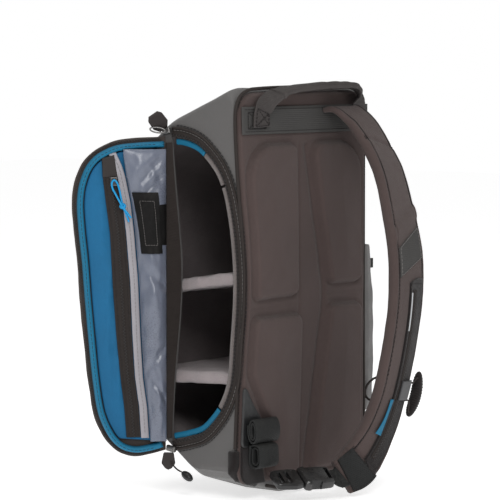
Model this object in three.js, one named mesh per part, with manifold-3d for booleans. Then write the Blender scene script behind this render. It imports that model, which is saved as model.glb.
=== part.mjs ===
// A sling bag for camera gear, standing on its base, with its side door swung open.
// Millimetres. +X is the wearer's right side, +Y runs into the bag, +Z is up.
import * as THREE from "three";
import { mergeVertices } from "three/addons/utils/BufferGeometryUtils.js";
import Module from "manifold-3d";

const wasm = await Module();
wasm.setup();

// Driving sizes.
const bodyWidth = 202;
const bodyHeight = 408;
const bodyDepth = 155;
const baseDepth = 66;
const slopeTop = 64;
const frontTop = 318;
const bendDepth = 88;
const bendHeight = 371;
const endRound = 18;
const shellWall = 2;
const linerWall = 4;
const gap = 0.3;
const bowDepth = 15;
const bowHeight = 215;
const bowReach = 92;
const strapWidth = 52;
const strapThick = 11;
const webWidth = 36;
const halfWidth = bodyWidth / 2;

const vec = (x, y, z) => new THREE.Vector3(x, y, z);
const clamp = THREE.MathUtils.clamp;
const lerp = THREE.MathUtils.lerp;

// Paints: colour, roughness, metalness.
const paints = {
  shellCloth: ["#62605d", 0.62, 0],
  knit: ["#504644", 0.9, 0],
  webbing: ["#3e4240", 0.8, 0],
  lining: ["#1f1e20", 0.9, 0],
  blueCloth: ["#266c9e", 0.75, 0],
  fleece: ["#968a8a", 0.95, 0],
  sheetFilm: ["#82858f", 0.45, 0],
  binding: ["#afacb2", 0.7, 0],
  zipCloth: ["#322c2a", 0.8, 0],
  labelCloth: ["#191719", 0.6, 0],
  blueCord: ["#1996d2", 0.6, 0],
  leatherette: ["#2e2d2d", 0.5, 0],
  plastic: ["#2c2b2d", 0.4, 0],
  rubberTab: ["#3a3533", 0.7, 0],
  wire: ["#4a4a4c", 0.35, 0.9],
  silverTape: ["#b4b6b8", 0.5, 0],
};

const bag = new THREE.Group();

function addPiece(name, geometry, paint) {
  const [color, roughness, metalness] = paints[paint];
  const look = new THREE.MeshStandardMaterial({ color, roughness, metalness });
  const mesh = new THREE.Mesh(geometry, look);
  mesh.name = name;
  bag.add(mesh);
}

// A closed mesh from points and triangles, turned so that its faces point out.
function closedMesh(points, triangles) {
  let volume = 0;
  for (const [a, b, c] of triangles) {
    volume += points[a].dot(points[b].clone().cross(points[c]));
  }
  const index = [];
  for (const [a, b, c] of triangles) {
    if (volume > 0) index.push(a, b, c);
    else index.push(a, c, b);
  }
  const flat = [];
  for (const p of points) flat.push(p.x, p.y, p.z);
  const geometry = new THREE.BufferGeometry();
  geometry.setAttribute("position", new THREE.Float32BufferAttribute(flat, 3));
  geometry.setIndex(index);
  return geometry;
}

// Rings of equal length joined into one skin, closed at both ends or end to end.
function loft(rings, endToEnd = false) {
  const size = rings[0].length;
  const points = rings.flat();
  const triangles = [];
  const last = endToEnd ? rings.length : rings.length - 1;
  for (let i = 0; i < last; i++) {
    const here = i * size;
    const next = ((i + 1) % rings.length) * size;
    for (let j = 0; j < size; j++) {
      const k = (j + 1) % size;
      triangles.push([here + j, here + k, next + k], [here + j, next + k, next + j]);
    }
  }
  if (!endToEnd) {
    for (const [start, turned] of [[0, true], [(rings.length - 1) * size, false]]) {
      const centre = vec(0, 0, 0);
      for (let j = 0; j < size; j++) centre.addScaledVector(points[start + j], 1 / size);
      const middle = points.push(centre) - 1;
      for (let j = 0; j < size; j++) {
        const k = (j + 1) % size;
        if (turned) triangles.push([start + k, start + j, middle]);
        else triangles.push([start + j, start + k, middle]);
      }
    }
  }
  return closedMesh(points, triangles);
}

// A thin slab over a surface: place(p, q, t) with p and q from 0 to 1, t the two faces.
function slab(place, across, along, lowFace, highFace) {
  const points = [];
  const triangles = [];
  const at = (face, i, j) => (face * (along + 1) + j) * (across + 1) + i;
  for (const face of [lowFace, highFace]) {
    for (let j = 0; j <= along; j++) {
      for (let i = 0; i <= across; i++) {
        const t = typeof face === "function" ? face(i / across, j / along) : face;
        points.push(place(i / across, j / along, t));
      }
    }
  }
  for (let j = 0; j < along; j++) {
    for (let i = 0; i < across; i++) {
      for (const f of [0, 1]) {
        const [a, b, c, d] = [at(f, i, j), at(f, i + 1, j), at(f, i + 1, j + 1), at(f, i, j + 1)];
        if (f) triangles.push([a, b, c], [a, c, d]);
        else triangles.push([a, c, b], [a, d, c]);
      }
    }
  }
  const rim = [];
  for (let i = 0; i < across; i++) rim.push([i, 0]);
  for (let j = 0; j < along; j++) rim.push([across, j]);
  for (let i = across; i > 0; i--) rim.push([i, along]);
  for (let j = along; j > 0; j--) rim.push([0, j]);
  rim.forEach(([i, j], n) => {
    const [k, m] = rim[(n + 1) % rim.length];
    triangles.push([at(0, i, j), at(0, k, m), at(1, k, m)]);
    triangles.push([at(0, i, j), at(1, k, m), at(1, i, j)]);
  });
  return closedMesh(points, triangles);
}

// Booleans.
function toSolid(geometry) {
  const bare = geometry.clone();
  for (const extra of ["normal", "uv"]) bare.deleteAttribute(extra);
  const merged = mergeVertices(bare, 1e-4);
  return new wasm.Manifold(
    new wasm.Mesh({
      numProp: 3,
      vertProperties: merged.attributes.position.array,
      triVerts: new Uint32Array(merged.index.array),
    }),
  );
}

function toGeometry(solid) {
  const mesh = solid.getMesh();
  const geometry = new THREE.BufferGeometry();
  geometry.setAttribute("position", new THREE.BufferAttribute(mesh.vertProperties, 3));
  geometry.setIndex(new THREE.BufferAttribute(mesh.triVerts, 1));
  return geometry;
}

const boxSolid = (x0, x1, y0, y1, z0, z1) =>
  toSolid(
    new THREE.BoxGeometry(x1 - x0, y1 - y0, z1 - z0).translate(
      (x0 + x1) / 2,
      (y0 + y1) / 2,
      (z0 + z1) / 2,
    ),
  );

// A closed outline with straight sides and round corners, no side longer than asked.
function roundOutline(corners, steps, longest = 1000) {
  const out = [];
  const count = corners.length;
  corners.forEach(([x, y, radius], i) => {
    const here = new THREE.Vector2(x, y);
    const before = new THREE.Vector2(...corners[(i + count - 1) % count].slice(0, 2));
    const after = new THREE.Vector2(...corners[(i + 1) % count].slice(0, 2));
    const inward = before.sub(here).normalize();
    const onward = after.sub(here).normalize();
    const half = Math.acos(clamp(inward.dot(onward), -1, 1)) / 2;
    const reach = radius / Math.tan(half);
    const centre = inward.clone().add(onward).normalize();
    centre.multiplyScalar(radius / Math.sin(half)).add(here);
    const start = here.clone().addScaledVector(inward, reach).sub(centre);
    const end = here.clone().addScaledVector(onward, reach).sub(centre);
    const turn = Math.atan2(start.cross(end), start.dot(end));
    for (let k = 0; k <= steps; k++) {
      const p = start.clone().rotateAround(new THREE.Vector2(), (turn * k) / steps).add(centre);
      out.push([p.x, p.y]);
    }
  });
  const filled = [];
  out.forEach(([x, y], i) => {
    const [a, b] = out[(i + 1) % out.length];
    const parts = Math.max(1, Math.ceil(Math.hypot(a - x, b - y) / longest));
    for (let k = 0; k < parts; k++) filled.push([lerp(x, a, k / parts), lerp(y, b, k / parts)]);
  });
  return filled;
}

// An outline moved outward by a distance, each point along the mean of its two sides' normals.
function grown(outline, distance) {
  const count = outline.length;
  let area = 0;
  outline.forEach(([x, y], i) => {
    const [a, b] = outline[(i + 1) % count];
    area += x * b - a * y;
  });
  const sign = Math.sign(area);
  return outline.map(([x, y], i) => {
    const [a, b] = outline[(i + count - 1) % count];
    const [c, d] = outline[(i + 1) % count];
    const length = Math.hypot(c - a, d - b) || 1;
    return [x + (sign * distance * (d - b)) / length, y - (sign * distance * (c - a)) / length];
  });
}

// Prism of an outline: place(a, b, t) sets where a point of the outline lies at depth t.
const prism = (outline, place, depths) =>
  loft(depths.map(([t, shrink]) => {
    const ring = shrink ? grown(outline, -shrink) : outline;
    return ring.map(([a, b]) => place(a, b, t));
  }));

// A soft bar along a path: stations hold a point, a side direction, a width and a thickness.
function sweptBar(stations, corners, endToEnd = false) {
  const rings = stations.map(({ point, side, width, thick }, i) => {
    const count = stations.length;
    const before = stations[endToEnd ? (i + count - 1) % count : Math.max(0, i - 1)].point;
    const after = stations[endToEnd ? (i + 1) % count : Math.min(count - 1, i + 1)].point;
    const along = after.clone().sub(before).normalize();
    const across = side.clone().addScaledVector(along, -side.dot(along)).normalize();
    const out = across.clone().cross(along);
    return corners.map(([a, b]) =>
      point.clone().addScaledVector(across, (a * width) / 2).addScaledVector(out, (b * thick) / 2),
    );
  });
  return loft(rings, endToEnd);
}

const flatBar = [[-1, -1], [1, -1], [1, 1], [-1, 1]];
const softBar = [
  [-1, -0.35], [-0.93, -0.85], [-0.8, -1], [0, -1], [0.8, -1], [0.93, -0.85],
  [1, -0.35], [1, 0.35], [0.93, 0.85], [0.8, 1], [0, 1], [-0.8, 1], [-0.93, 0.85], [-1, 0.35],
];
const plainBar = [[-1, -0.6], [-0.85, -1], [0.85, -1], [1, -0.6], [1, 0.6], [0.85, 1], [-0.85, 1], [-1, 0.6]];
const roundBar = (sides) =>
  Array.from({ length: sides }, (_, i) => {
    const angle = (2 * Math.PI * i) / sides;
    return [Math.cos(angle), Math.sin(angle)];
  });

// A round cord through points.
function cordThrough(points, radius, sides, steps) {
  const curve = new THREE.CatmullRomCurve3(points.map((p) => vec(...p)), false, "centripetal");
  const shape = new THREE.Shape(
    roundBar(sides).map(([a, b]) => new THREE.Vector2(a * radius, b * radius)),
  );
  return new THREE.ExtrudeGeometry(shape, {
    steps,
    bevelEnabled: false,
    extrudePath: curve,
  });
}

// The left wall sags inward about half way up.
const bowAt = (z) => bowDepth * Math.exp(-(((z - bowHeight) / bowReach) ** 2));
const bowed = (x, y, z) =>
  vec(x < 0 ? x + bowAt(z) * Math.min(1, (x / halfWidth) ** 2) : x, y, z);

// Body: side profile corners (y, z, radius) and how far each side that follows is drawn in.
const bodyCorners = [
  { y: 0, z: 0, radius: 12, drawnIn: 0 },
  { y: baseDepth, z: 0, radius: 24, drawnIn: 0 },
  { y: bodyDepth, z: slopeTop, radius: 30, drawnIn: 0.9 },
  { y: bodyDepth, z: frontTop, radius: 30, drawnIn: 0.5 },
  { y: bendDepth, z: bendHeight, radius: 70, drawnIn: 0.5 },
  { y: 0, z: bodyHeight, radius: 11, drawnIn: 0.12 },
];
// Sections across the width. As shares of the slope's height, lift raises the base there and
// rise the slope in front of it.
const bodyStations = [
  { share: -1, inset: 1, lift: 0.44, rise: 0.47 },
  { share: -0.97, inset: 0.46, lift: 0.41, rise: 0.44 },
  { share: -0.88, inset: 0.17, lift: 0.3, rise: 0.36 },
  { share: -0.2, inset: 0, lift: 0, rise: 0.06 },
  { share: 0.6, inset: 0, lift: 0, rise: 0 },
  { share: 0.88, inset: 0.17, lift: 0.05, rise: 0.08 },
  { share: 0.97, inset: 0.46, lift: 0.13, rise: 0.2 },
  { share: 1, inset: 1, lift: 0.28, rise: 0.42 },
];

// The side profile with each side moved in, then grown by a distance.
function bodyProfile({ inset, lift, rise }, grow) {
  const count = bodyCorners.length;
  const sides = bodyCorners.map(({ y, z, drawnIn }, i) => {
    const next = bodyCorners[(i + 1) % count];
    const length = Math.hypot(next.y - y, next.z - z);
    const normal = [(next.z - z) / length, -(next.y - y) / length];
    const raised = [lift * slopeTop, rise * slopeTop][i];
    const moved = grow - (raised ?? inset * endRound * drawnIn);
    return { normal, offset: normal[0] * y + normal[1] * z + moved };
  });
  const corners = sides.map((side, i) => {
    const before = sides[(i + count - 1) % count];
    const [a, b] = before.normal;
    const [c, d] = side.normal;
    const cross = a * d - b * c;
    const y = (before.offset * d - side.offset * b) / cross;
    const z = (a * side.offset - c * before.offset) / cross;
    return [y, z, Math.max(2, bodyCorners[i].radius + grow)];
  });
  return roundOutline(corners, 3);
}

// Long straight sides get extra points, the same number in each ring.
const profileFill = [1, 1, 1, 1, 1, 1, 1, 2, 1, 1, 1, 4, 1, 1, 1, 1, 1, 1, 1, 1, 1, 1, 1, 8];
function fillProfile(ring) {
  return ring.flatMap(([y, z], i) => {
    const [a, b] = ring[(i + 1) % ring.length];
    const parts = profileFill[i];
    return Array.from({ length: parts }, (_, k) => [
      lerp(y, a, k / parts),
      lerp(z, b, k / parts),
    ]);
  });
}

function bodySolid(grow) {
  const rings = bodyStations.map((station) => {
    const ring = fillProfile(bodyProfile(station, grow));
    const x = station.share * (halfWidth + grow);
    return ring.map(([y, z]) => bowed(x, y, z));
  });
  const ring = fillProfile(bodyProfile(bodyStations[0], grow));
  for (const share of [0.75, 0.4]) {
    const middle = [66, 200];
    rings.unshift(
      ring.map(([y, z]) =>
        bowed(
          -(halfWidth + grow),
          lerp(middle[0], y, share),
          lerp(middle[1], z, share),
        ),
      ),
    );
  }
  return toSolid(loft(rings));
}

// Door opening in the left wall, as (y, z).
const openingFront = 84;
const openingBend = [
  [openingFront, 353], [66, 352], [47, 346], [33, 335], [21, 320], [14, 301], [10.5, 275],
  [9, 235], [8.5, 200], [8, 160], [8, 114], [17, 90], [28, 76], [41, 65], [60, 58.5],
  [openingFront, 53],
];
const openingOutline = [
  ...openingBend,
  ...[1, 2, 3, 4, 5, 6].map((k) => [openingFront, lerp(53, 353, k / 7)]),
];
const intoWall = (a, b, t) => bowed(-halfWidth, a, b).add(vec(t, 0, 0));
const openingPrism = (grow) => toSolid(prism(grown(openingOutline, grow), intoWall, [[-30], [34]]));

// Points closer than this to a flat face are left out of the panels.
const flatness = 0.12;
// The body is sewn from two side panels and the band that runs round between them.
const seam = halfWidth - endRound;
const panelCuts = [
  { end: "left", low: -bodyWidth, high: -seam - gap / 2 },
  { end: "band", low: -seam + gap / 2, high: seam - gap / 2 },
  { end: "right", low: seam + gap / 2, high: bodyWidth },
];
function addPanels(name, solid, paint) {
  for (const { end, low, high } of panelCuts) {
    const slice = boxSolid(low, high, -bodyDepth, 2 * bodyDepth, -endRound, 2 * bodyHeight);
    addPiece(`${name}_${end}`, toGeometry(solid.intersect(slice).simplify(flatness)), paint);
  }
}

const opening = openingPrism(0);
const shellSolid = bodySolid(0).subtract(bodySolid(-shellWall)).subtract(opening);
addPanels("shell", shellSolid, "shellCloth");

const linerOut = shellWall + gap;
const linerIn = linerOut + linerWall;
const linerSolid = bodySolid(-linerOut)
  .subtract(bodySolid(-linerIn))
  .subtract(openingPrism(0.6));
addPanels("liner", linerSolid, "lining");

// Zip tape, blue facings and fleece lip round the opening.
const ringBand = (outer, inner) => openingPrism(outer).subtract(openingPrism(inner));
const layer = (outer, inner) => bodySolid(outer).subtract(bodySolid(inner));
const zipTape = layer(2.2, gap)
  .intersect(ringBand(9, 0))
  .intersect(boxSolid(-150, 0, 2.4, openingFront - 4, 0, 420));
addPiece("opening_zip_tape", toGeometry(zipTape), "zipCloth");

const facingBand = layer(-0.5, -2.7).intersect(ringBand(-0.9, -7));
const facingSplits = [
  { name: "facing_top", paint: "blueCloth", low: 320.4, high: 420 },
  { name: "fleece_lip", paint: "fleece", low: 104, high: 320 },
  { name: "facing_bottom", paint: "blueCloth", low: 0, high: 103.7 },
];
for (const { name, paint, low, high } of facingSplits) {
  const slice = boxSolid(-150, 0, -20, openingFront - 8, low, high);
  addPiece(name, toGeometry(facingBand.intersect(slice)), paint);
}

// Two padded dividers: (height at the back, height at the front, thickness).
const dividers = [
  { name: "divider_upper", back: 219, front: 196, thick: 12 },
  { name: "divider_lower", back: 119, front: 113, thick: 12 },
];
const hollow = bodySolid(-linerIn - gap);
for (const { name, back, front, thick } of dividers) {
  const across = (a, b, t) => vec(a, b, lerp(back, front, b / bodyDepth) + t);
  const outline = [[-140, -5], [140, -5], [140, bodyDepth], [-140, bodyDepth]];
  const plate = toSolid(prism(outline, across, [[-thick / 2], [thick / 2]]));
  addPiece(name, toGeometry(plate.intersect(hollow)), "fleece");
}

// Door: a is the distance from the hinge, b the height, t out of its inner face.
const doorAngle = THREE.MathUtils.degToRad(140);
const hinge = { x: -halfWidth - 2.4, y: openingFront };
const doorAlong = [Math.cos(doorAngle), Math.sin(doorAngle)];
function onDoor(a, b, t) {
  const x = hinge.x + a * doorAlong[0] - t * doorAlong[1];
  const y = hinge.y + a * doorAlong[1] + t * doorAlong[0];
  return vec(x, y, b);
}
const doorPoints = [
  [2, 354], [32, 352.5], [52, 350], [65, 345], [76, 338], [85, 327], [92, 309], [94.5, 290],
  [93, 262], [90, 233], [87, 193], [83.5, 153], [79.5, 113], [74.5, 82], [68, 65], [60, 52],
  [49, 42.6], [34, 38.4], [18, 40], [2, 44],
];
// The straight hinge side keeps its two corners.
function doorOutline(shrink) {
  const curve = new THREE.SplineCurve(doorPoints.map(([a, b]) => new THREE.Vector2(a, b)));
  const soft = curve.getSpacedPoints(30).map((p) => [p.x, p.y]);
  const inner = grown(soft, -shrink);
  inner[0] = [2 + shrink, soft[0][1] - shrink];
  inner[inner.length - 1] = [2 + shrink, soft[soft.length - 1][1] + shrink];
  return inner;
}
const doorPanel = loft([
  doorOutline(3).map(([a, b]) => onDoor(a, b, -7)),
  doorOutline(0.6).map(([a, b]) => onDoor(a, b, -5)),
  doorOutline(0).map(([a, b]) => onDoor(a, b, -2)),
  doorOutline(1).map(([a, b]) => onDoor(a, b, 0)),
]);
addPiece("door_panel", doorPanel, "shellCloth");

const hingeCloth = slab(
  (p, q, t) => {
    const z = lerp(56, 348, q);
    const wall = vec(-halfWidth + 0.6 + bowAt(z), openingFront - 1.35, z);
    return wall.lerp(onDoor(1.4, z, -1), p).add(vec(0, t, 0));
  },
  1, 14, -0.6, 0.8,
);
addPiece("door_hinge_cloth", hingeCloth, "zipCloth");

const rimHigh = 9;
const doorRim = toSolid(
  loft([
    doorOutline(4.5).map(([a, b]) => onDoor(a, b, gap)),
    doorOutline(4.5).map(([a, b]) => onDoor(a, b, rimHigh - 2)),
    doorOutline(6.5).map(([a, b]) => onDoor(a, b, rimHigh)),
  ]),
).subtract(
  toSolid(
    loft([
      doorOutline(10.5).map(([a, b]) => onDoor(a, b, -1)),
      doorOutline(10.5).map(([a, b]) => onDoor(a, b, rimHigh - 2)),
      doorOutline(8.5).map(([a, b]) => onDoor(a, b, rimHigh + 1)),
    ]),
  ),
);
addPiece("door_rim", toGeometry(doorRim), "blueCloth");

const liningHigh = 4;
const doorLining = loft([
  doorOutline(11).map(([a, b]) => onDoor(a, b, gap)),
  doorOutline(11).map(([a, b]) => onDoor(a, b, liningHigh - 1)),
  doorOutline(12.5).map(([a, b]) => onDoor(a, b, liningHigh)),
]);
addPiece("door_lining", doorLining, "blueCloth");

// Zip strip across the door: height and its far edge, near edge.
const stripRows = [
  { z: 336, far: 66, near: 54 },
  { z: 315, far: 65, near: 51 },
  { z: 290, far: 62, near: 46 },
  { z: 260, far: 58, near: 42.5 },
  { z: 210, far: 55.5, near: 38.5 },
  { z: 158, far: 52, near: 36.5 },
  { z: 117, far: 48, near: 34 },
  { z: 88, far: 44.5, near: 30 },
  { z: 55, far: 42, near: 28 },
];
function stripAt(z) {
  const at = stripRows.findIndex((row) => row.z <= z);
  const low = stripRows[at < 1 ? 1 : at];
  const high = stripRows[at < 1 ? 0 : at - 1];
  const share = clamp((z - low.z) / (high.z - low.z), 0, 1);
  return [lerp(low.far, high.far, share), lerp(low.near, high.near, share)];
}
const tapeFace = liningHigh + gap;
const zipStrip = slab(
  (p, q, t) => {
    const z = lerp(58, 315.4, q);
    const [far, near] = stripAt(z);
    return onDoor(lerp(near, far, p), z, t);
  },
  2, 12, tapeFace, (p) => tapeFace + (p === 0.5 ? 2.4 : 1.4),
);
addPiece("door_zip", zipStrip, "zipCloth");

const garage = slab(
  (p, q, t) => {
    const z = lerp(316, 331.5, q);
    const [far, near] = stripAt(z);
    return onDoor(lerp(near, far, p), z, t);
  },
  1, 2, tapeFace, tapeFace + 2.6,
);
addPiece("zip_garage", garage, "rubberTab");

// Binding beside the zip, and the film pocket that bulges between it and the hinge.
const bindingWide = 8;
const binding = slab(
  (p, q, t) => {
    const z = lerp(57, 334, q);
    const near = stripAt(z)[1] - 0.4;
    return onDoor(lerp(near - bindingWide, near, p), z, t);
  },
  1, 14, tapeFace, tapeFace + 2,
);
addPiece("pocket_binding", binding, "binding");

const sheetBulge = 11;
const sheetThick = 1;
const sheetLow = 54;
const sheetHigh = 342;
function sheetPoint(p, z, t) {
  const near = stripAt(z)[1] - bindingWide - 0.8;
  const share = (z - sheetLow) / (sheetHigh - sheetLow);
  const lengthwise = Math.sin(Math.PI * clamp(share, 0, 1)) ** 0.35;
  const ripple = 1 + 0.12 * Math.sin(share * 17);
  const height = sheetBulge * lengthwise * ripple * Math.sin(Math.PI * p) ** 0.6;
  return onDoor(lerp(3, near, p), z, rimHigh + gap + height + t);
}
const sheet = slab((p, q, t) => sheetPoint(p, lerp(sheetLow, sheetHigh, q), t), 6, 14, 0, sheetThick);
addPiece("pocket_sheet", sheet, "sheetFilm");

// Blank label and its side tab, both lying on the sheet.
const labelLow = 240;
const labelHigh = 300;
const label = slab(
  (p, q, t) => sheetPoint(lerp(0.16 + 0.1 * q, 0.88 + 0.08 * q, p), lerp(labelLow, labelHigh, q), t),
  3, 5, sheetThick + 0.8, sheetThick + 1.9,
);
addPiece("label_patch", label, "labelCloth");

// Back panel: a thin moulded base with four raised pods, as (x, z).
const panelFace = -gap;
const panelBase = 5;
const podHigh = 8;
const panelOutline = roundOutline(
  [
    [-halfWidth + 8, 15, 10],
    [halfWidth - 8, 15, 14],
    [halfWidth - 6, bodyHeight - 17, 12],
    [-halfWidth + 6, bodyHeight - 17, 12],
  ],
  3,
  48,
);
const behind = (a, b, t) => bowed(a, panelFace - t, b);
const podOutlines = [
  [[-91, 347, 36], [-17, 347, 9], [-14, 198, 8], [-90, 196, 8]],
  [[8, 347, 12], [85, 347, 34], [87, 206, 8], [37, 206, 9]],
  [[-90, 178, 8], [-8, 178, 8], [-14, 22, 8], [-58, 22, 8], [-58, 74, 20], [-90, 124, 10]],
  [[37, 184, 9], [87, 184, 8], [86, 22, 10], [6, 22, 9]],
];
let panelSolid = toSolid(
  prism(panelOutline, behind, [[0], [panelBase - 1.5], [panelBase, 1.8]]),
);
for (const corners of podOutlines) {
  const outline = roundOutline(corners, 3, 50);
  const middle = [0, 1].map((k) => outline.reduce((sum, p) => sum + p[k], 0) / outline.length);
  const rings = [[1, 1], [1, 4.8], [0.965, 6.9], [0.87, podHigh], [0.5, podHigh + 1.2]];
  const pod = loft(
    rings.map(([share, t]) =>
      outline.map(([a, b]) =>
        behind(lerp(middle[0], a, share), lerp(middle[1], b, 1 - (1 - share) * 0.55), t),
      ),
    ),
  );
  panelSolid = panelSolid.add(toSolid(pod));
}
panelSolid = panelSolid.subtract(boxSolid(-150, -62, -30, 0, 0, 50));
addPiece("back_panel", toGeometry(panelSolid), "knit");

// Black knit corner at the foot of the left side.
const cornerRegion = boxSolid(-150, -62.4, -30, 7, 6, 49.6);
addPiece("corner_knit", toGeometry(layer(3.2, gap).intersect(cornerRegion)), "leatherette");

// Piping along the seam between the back and the sides, from the left foot over the top:
// (side, distance past the body's side, depth, height).
const pipingPath = [
  [-1, 0.6, -0.4, 52], [-1, 0.6, -0.4, 120], [-1, 0.6, -0.4, 170], [-1, 0.6, -0.4, 215],
  [-1, 0.6, -0.4, 260], [-1, 0.6, -0.4, 310], [-1, 0.6, -0.4, 366], [-1, 0.2, -1, 380],
  [-1, -5, -1.6, 393], [-1, -17, -1.8, 399.6], [-1, -35, -1.7, 401.4], [1, -35, -1.7, 401.4],
  [1, -17, -1.8, 399.6], [1, -5, -1.6, 393], [1, 0.2, -1, 380], [1, 0.6, -0.4, 366],
  [1, 0.6, -0.4, 200], [1, 1, -1.2, 34], [1, -0.4, -2.4, 16], [1, -12, -1.8, 5],
  [1, -61, -1, 4.4], [-1, -81, -1, 4.4], [-1, -47, -1, 11],
];
const seamCord = pipingPath.map(([side, out, y, z]) =>
  bowed(side * (halfWidth + out), y, z).toArray(),
);
addPiece("back_piping", cordThrough(seamCord, 1.7, 5, 32), "zipCloth");

// Top yoke: a webbing strip across the panel, and the stitched box beside the handle.
const yokeReach = halfWidth - 8;
const yokeLow = 357;
const yokeHigh = 384;
const yoke = slab(
  (p, q, t) => bowed(
    lerp(-yokeReach, yokeReach, p),
    panelFace - panelBase - gap - t,
    lerp(yokeLow, yokeHigh, q),
  ),
  4, 1, 0, 2.4,
);
addPiece("top_yoke", yoke, "webbing");

// Grab handle: webbing sewn to the panel at both ends, twisted flat and sleeved on top.
const handlePath = [
  { at: [-72, -10.1, 364], side: [1, 0, 0], width: 25, thick: 2.2 },
  { at: [-72, -10.8, 379], side: [0.99, -0.06, 0], width: 25, thick: 2.2 },
  { at: [-64, -13, 390], side: [0.6, -0.7, -0.45], width: 24, thick: 2.6 },
  { at: [-48, -15, 398], side: [0.1, -1, 0], width: 22, thick: 5 },
  { at: [-10, -16, 402], side: [0, -1, 0.1], width: 21, thick: 6 },
  { at: [30, -16, 403], side: [0, -1, 0.1], width: 21, thick: 6 },
  { at: [60, -15, 402.5], side: [-0.1, -1, 0], width: 21, thick: 4 },
  { at: [74, -13, 397], side: [-0.6, -0.7, -0.45], width: 20, thick: 2.6 },
  { at: [79.5, -10.8, 387], side: [-0.99, -0.06, 0], width: 20, thick: 2.2 },
  { at: [79.5, -10.1, 372], side: [-1, 0, 0], width: 20, thick: 2.2 },
];

function stationsOf(path, count, sideOf) {
  const curve = new THREE.CatmullRomCurve3(path.map(({ at }) => vec(...at)), false, "centripetal");
  const spans = path.length - 1;
  return Array.from({ length: count + 1 }, (_, i) => {
    const share = (i / count) * spans;
    const low = Math.min(spans - 1, Math.floor(share));
    const mix = share - low;
    const from = path[low];
    const to = path[low + 1];
    return {
      point: curve.getPoint(i / count),
      side: sideOf(from, to, mix),
      width: lerp(from.width, to.width, mix),
      thick: lerp(from.thick, to.thick, mix),
    };
  });
}

// Sling strap: path from the yoke round to the floor, with the direction of its width.
const strapPath = [
  { at: [46, -9.4, 379], side: [1, 0, 0], width: 45, thick: 5 },
  { at: [46, -20, 379.5], side: [1, 0, 0], width: 45, thick: 6 },
  { at: [52, -34, 368], side: [1, 0.1, 0], width: 46, thick: 9 },
  { at: [56, -50, 345], side: [0.97, 0.2, 0], width: 49, thick: strapThick },
  { at: [58, -65, 319], side: [0.97, 0.2, 0], width: strapWidth, thick: strapThick },
  { at: [55, -78, 287], side: [0.98, 0.18, 0], width: strapWidth * 1.04, thick: strapThick },
  { at: [49.5, -93, 238], side: [0.98, 0.15, 0], width: strapWidth * 1.12, thick: strapThick },
  { at: [46, -96, 195], side: [0.98, 0.15, 0], width: strapWidth * 1.12, thick: strapThick },
  { at: [42.5, -91, 145], side: [0.98, 0.15, 0], width: strapWidth * 1.12, thick: strapThick },
  { at: [39, -81, 97], side: [0.97, 0.12, -0.1], width: strapWidth * 1.06, thick: strapThick },
  { at: [31, -71, 60], side: [0.9, 0.05, -0.35], width: strapWidth, thick: strapThick },
  { at: [13, -63, 31], side: [0.76, -0.1, -0.6], width: 50, thick: strapThick },
  { at: [-7, -58, 19], side: [0.58, -0.3, -0.72], width: 38, thick: 8 },
];
const blendSide = (from, to, mix) => vec(...from.side).lerp(vec(...to.side), mix).normalize();
const strapSteps = 22;
const strapStations = stationsOf(strapPath, strapSteps, blendSide);
addPiece("strap_pad", sweptBar(strapStations, softBar), "knit");

// A point of the strap's outer face: s along it, w across from -1 to 1, t out of the face.
function onStrap(s, w, t) {
  const at = clamp(s, 0, 1) * strapSteps;
  const low = Math.min(strapSteps - 1, Math.floor(at));
  const mix = at - low;
  const faceAt = (i) => {
    const before = strapStations[Math.max(0, i - 1)].point;
    const after = strapStations[Math.min(strapSteps, i + 1)].point;
    const { point, side, width, thick } = strapStations[i];
    const along = after.clone().sub(before).normalize();
    const across = side.clone().addScaledVector(along, -side.dot(along)).normalize();
    const out = along.clone().cross(across);
    return point
      .clone()
      .addScaledVector(across, (w * width) / 2)
      .addScaledVector(out, thick / 2 + t);
  };
  return faceAt(low).lerp(faceAt(low + 1), mix);
}
// Pieces sewn on the strap's outer face: (start, end) along and (low, high) across.
const strapPieces = [
  { name: "strap_patch", paint: "webbing", s: [0.474, 0.526], w: [-0.76, 0.76], slant: -0.04, t: [0.7, 2] },
  {
    name: "strap_pocket", paint: "webbing", s: [12 / strapSteps, 20 / strapSteps],
    w: [-0.1, 0.76], slant: 0, t: [0.9, 2.2],
  },
  {
    name: "strap_zip", paint: "zipCloth", s: [12.5 / strapSteps, 19.5 / strapSteps],
    w: [0.05, 0.3], slant: 0, t: [3, 4.4],
  },
  {
    name: "end_patch", paint: "webbing", s: [20 / strapSteps, 21.8 / strapSteps],
    w: [-0.9, 0.9], slant: 0, t: [1.5, 3],
  },
  {
    name: "silver_strip", paint: "silverTape", s: [12.6 / strapSteps, 14 / strapSteps],
    w: [0.34, 0.4], slant: 0, t: [2.8, 3.5],
  },
];
for (const { name, paint, s, w, slant, t } of strapPieces) {
  const along = Math.max(2, Math.round((s[1] - s[0]) * strapSteps * (slant ? 2 : 1)));
  const piece = slab(
    (p, q, out) => onStrap(lerp(s[0], s[1], q) + slant * (p - 0.5), lerp(w[0], w[1], p), out),
    2, along, t[0], t[1],
  );
  addPiece(name, piece, paint);
}

// Grab handle and the stitched boxes at its ends.
addPiece("grab_handle", sweptBar(stationsOf(handlePath, 16, blendSide), plainBar), "webbing");

// Keeper on the strap, with a rolled elastic held beside it.
const keeperAt = 0.735;
const keeper = slab(
  (p, q, t) => onStrap(keeperAt + (q - 0.5) * 0.03, lerp(0.1, 1.12, p), t),
  3, 1, 4.4, 6.2,
);
addPiece("keeper_loop", keeper, "webbing");
const rollSpots = [onStrap(0.715, 1.3, 3), onStrap(0.745, 1.32, 3.6), onStrap(0.775, 1.28, 3)];
addPiece("elastic_roll", cordThrough(rollSpots.map((p) => p.toArray()), 5, 8, 4), "webbing");

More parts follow.
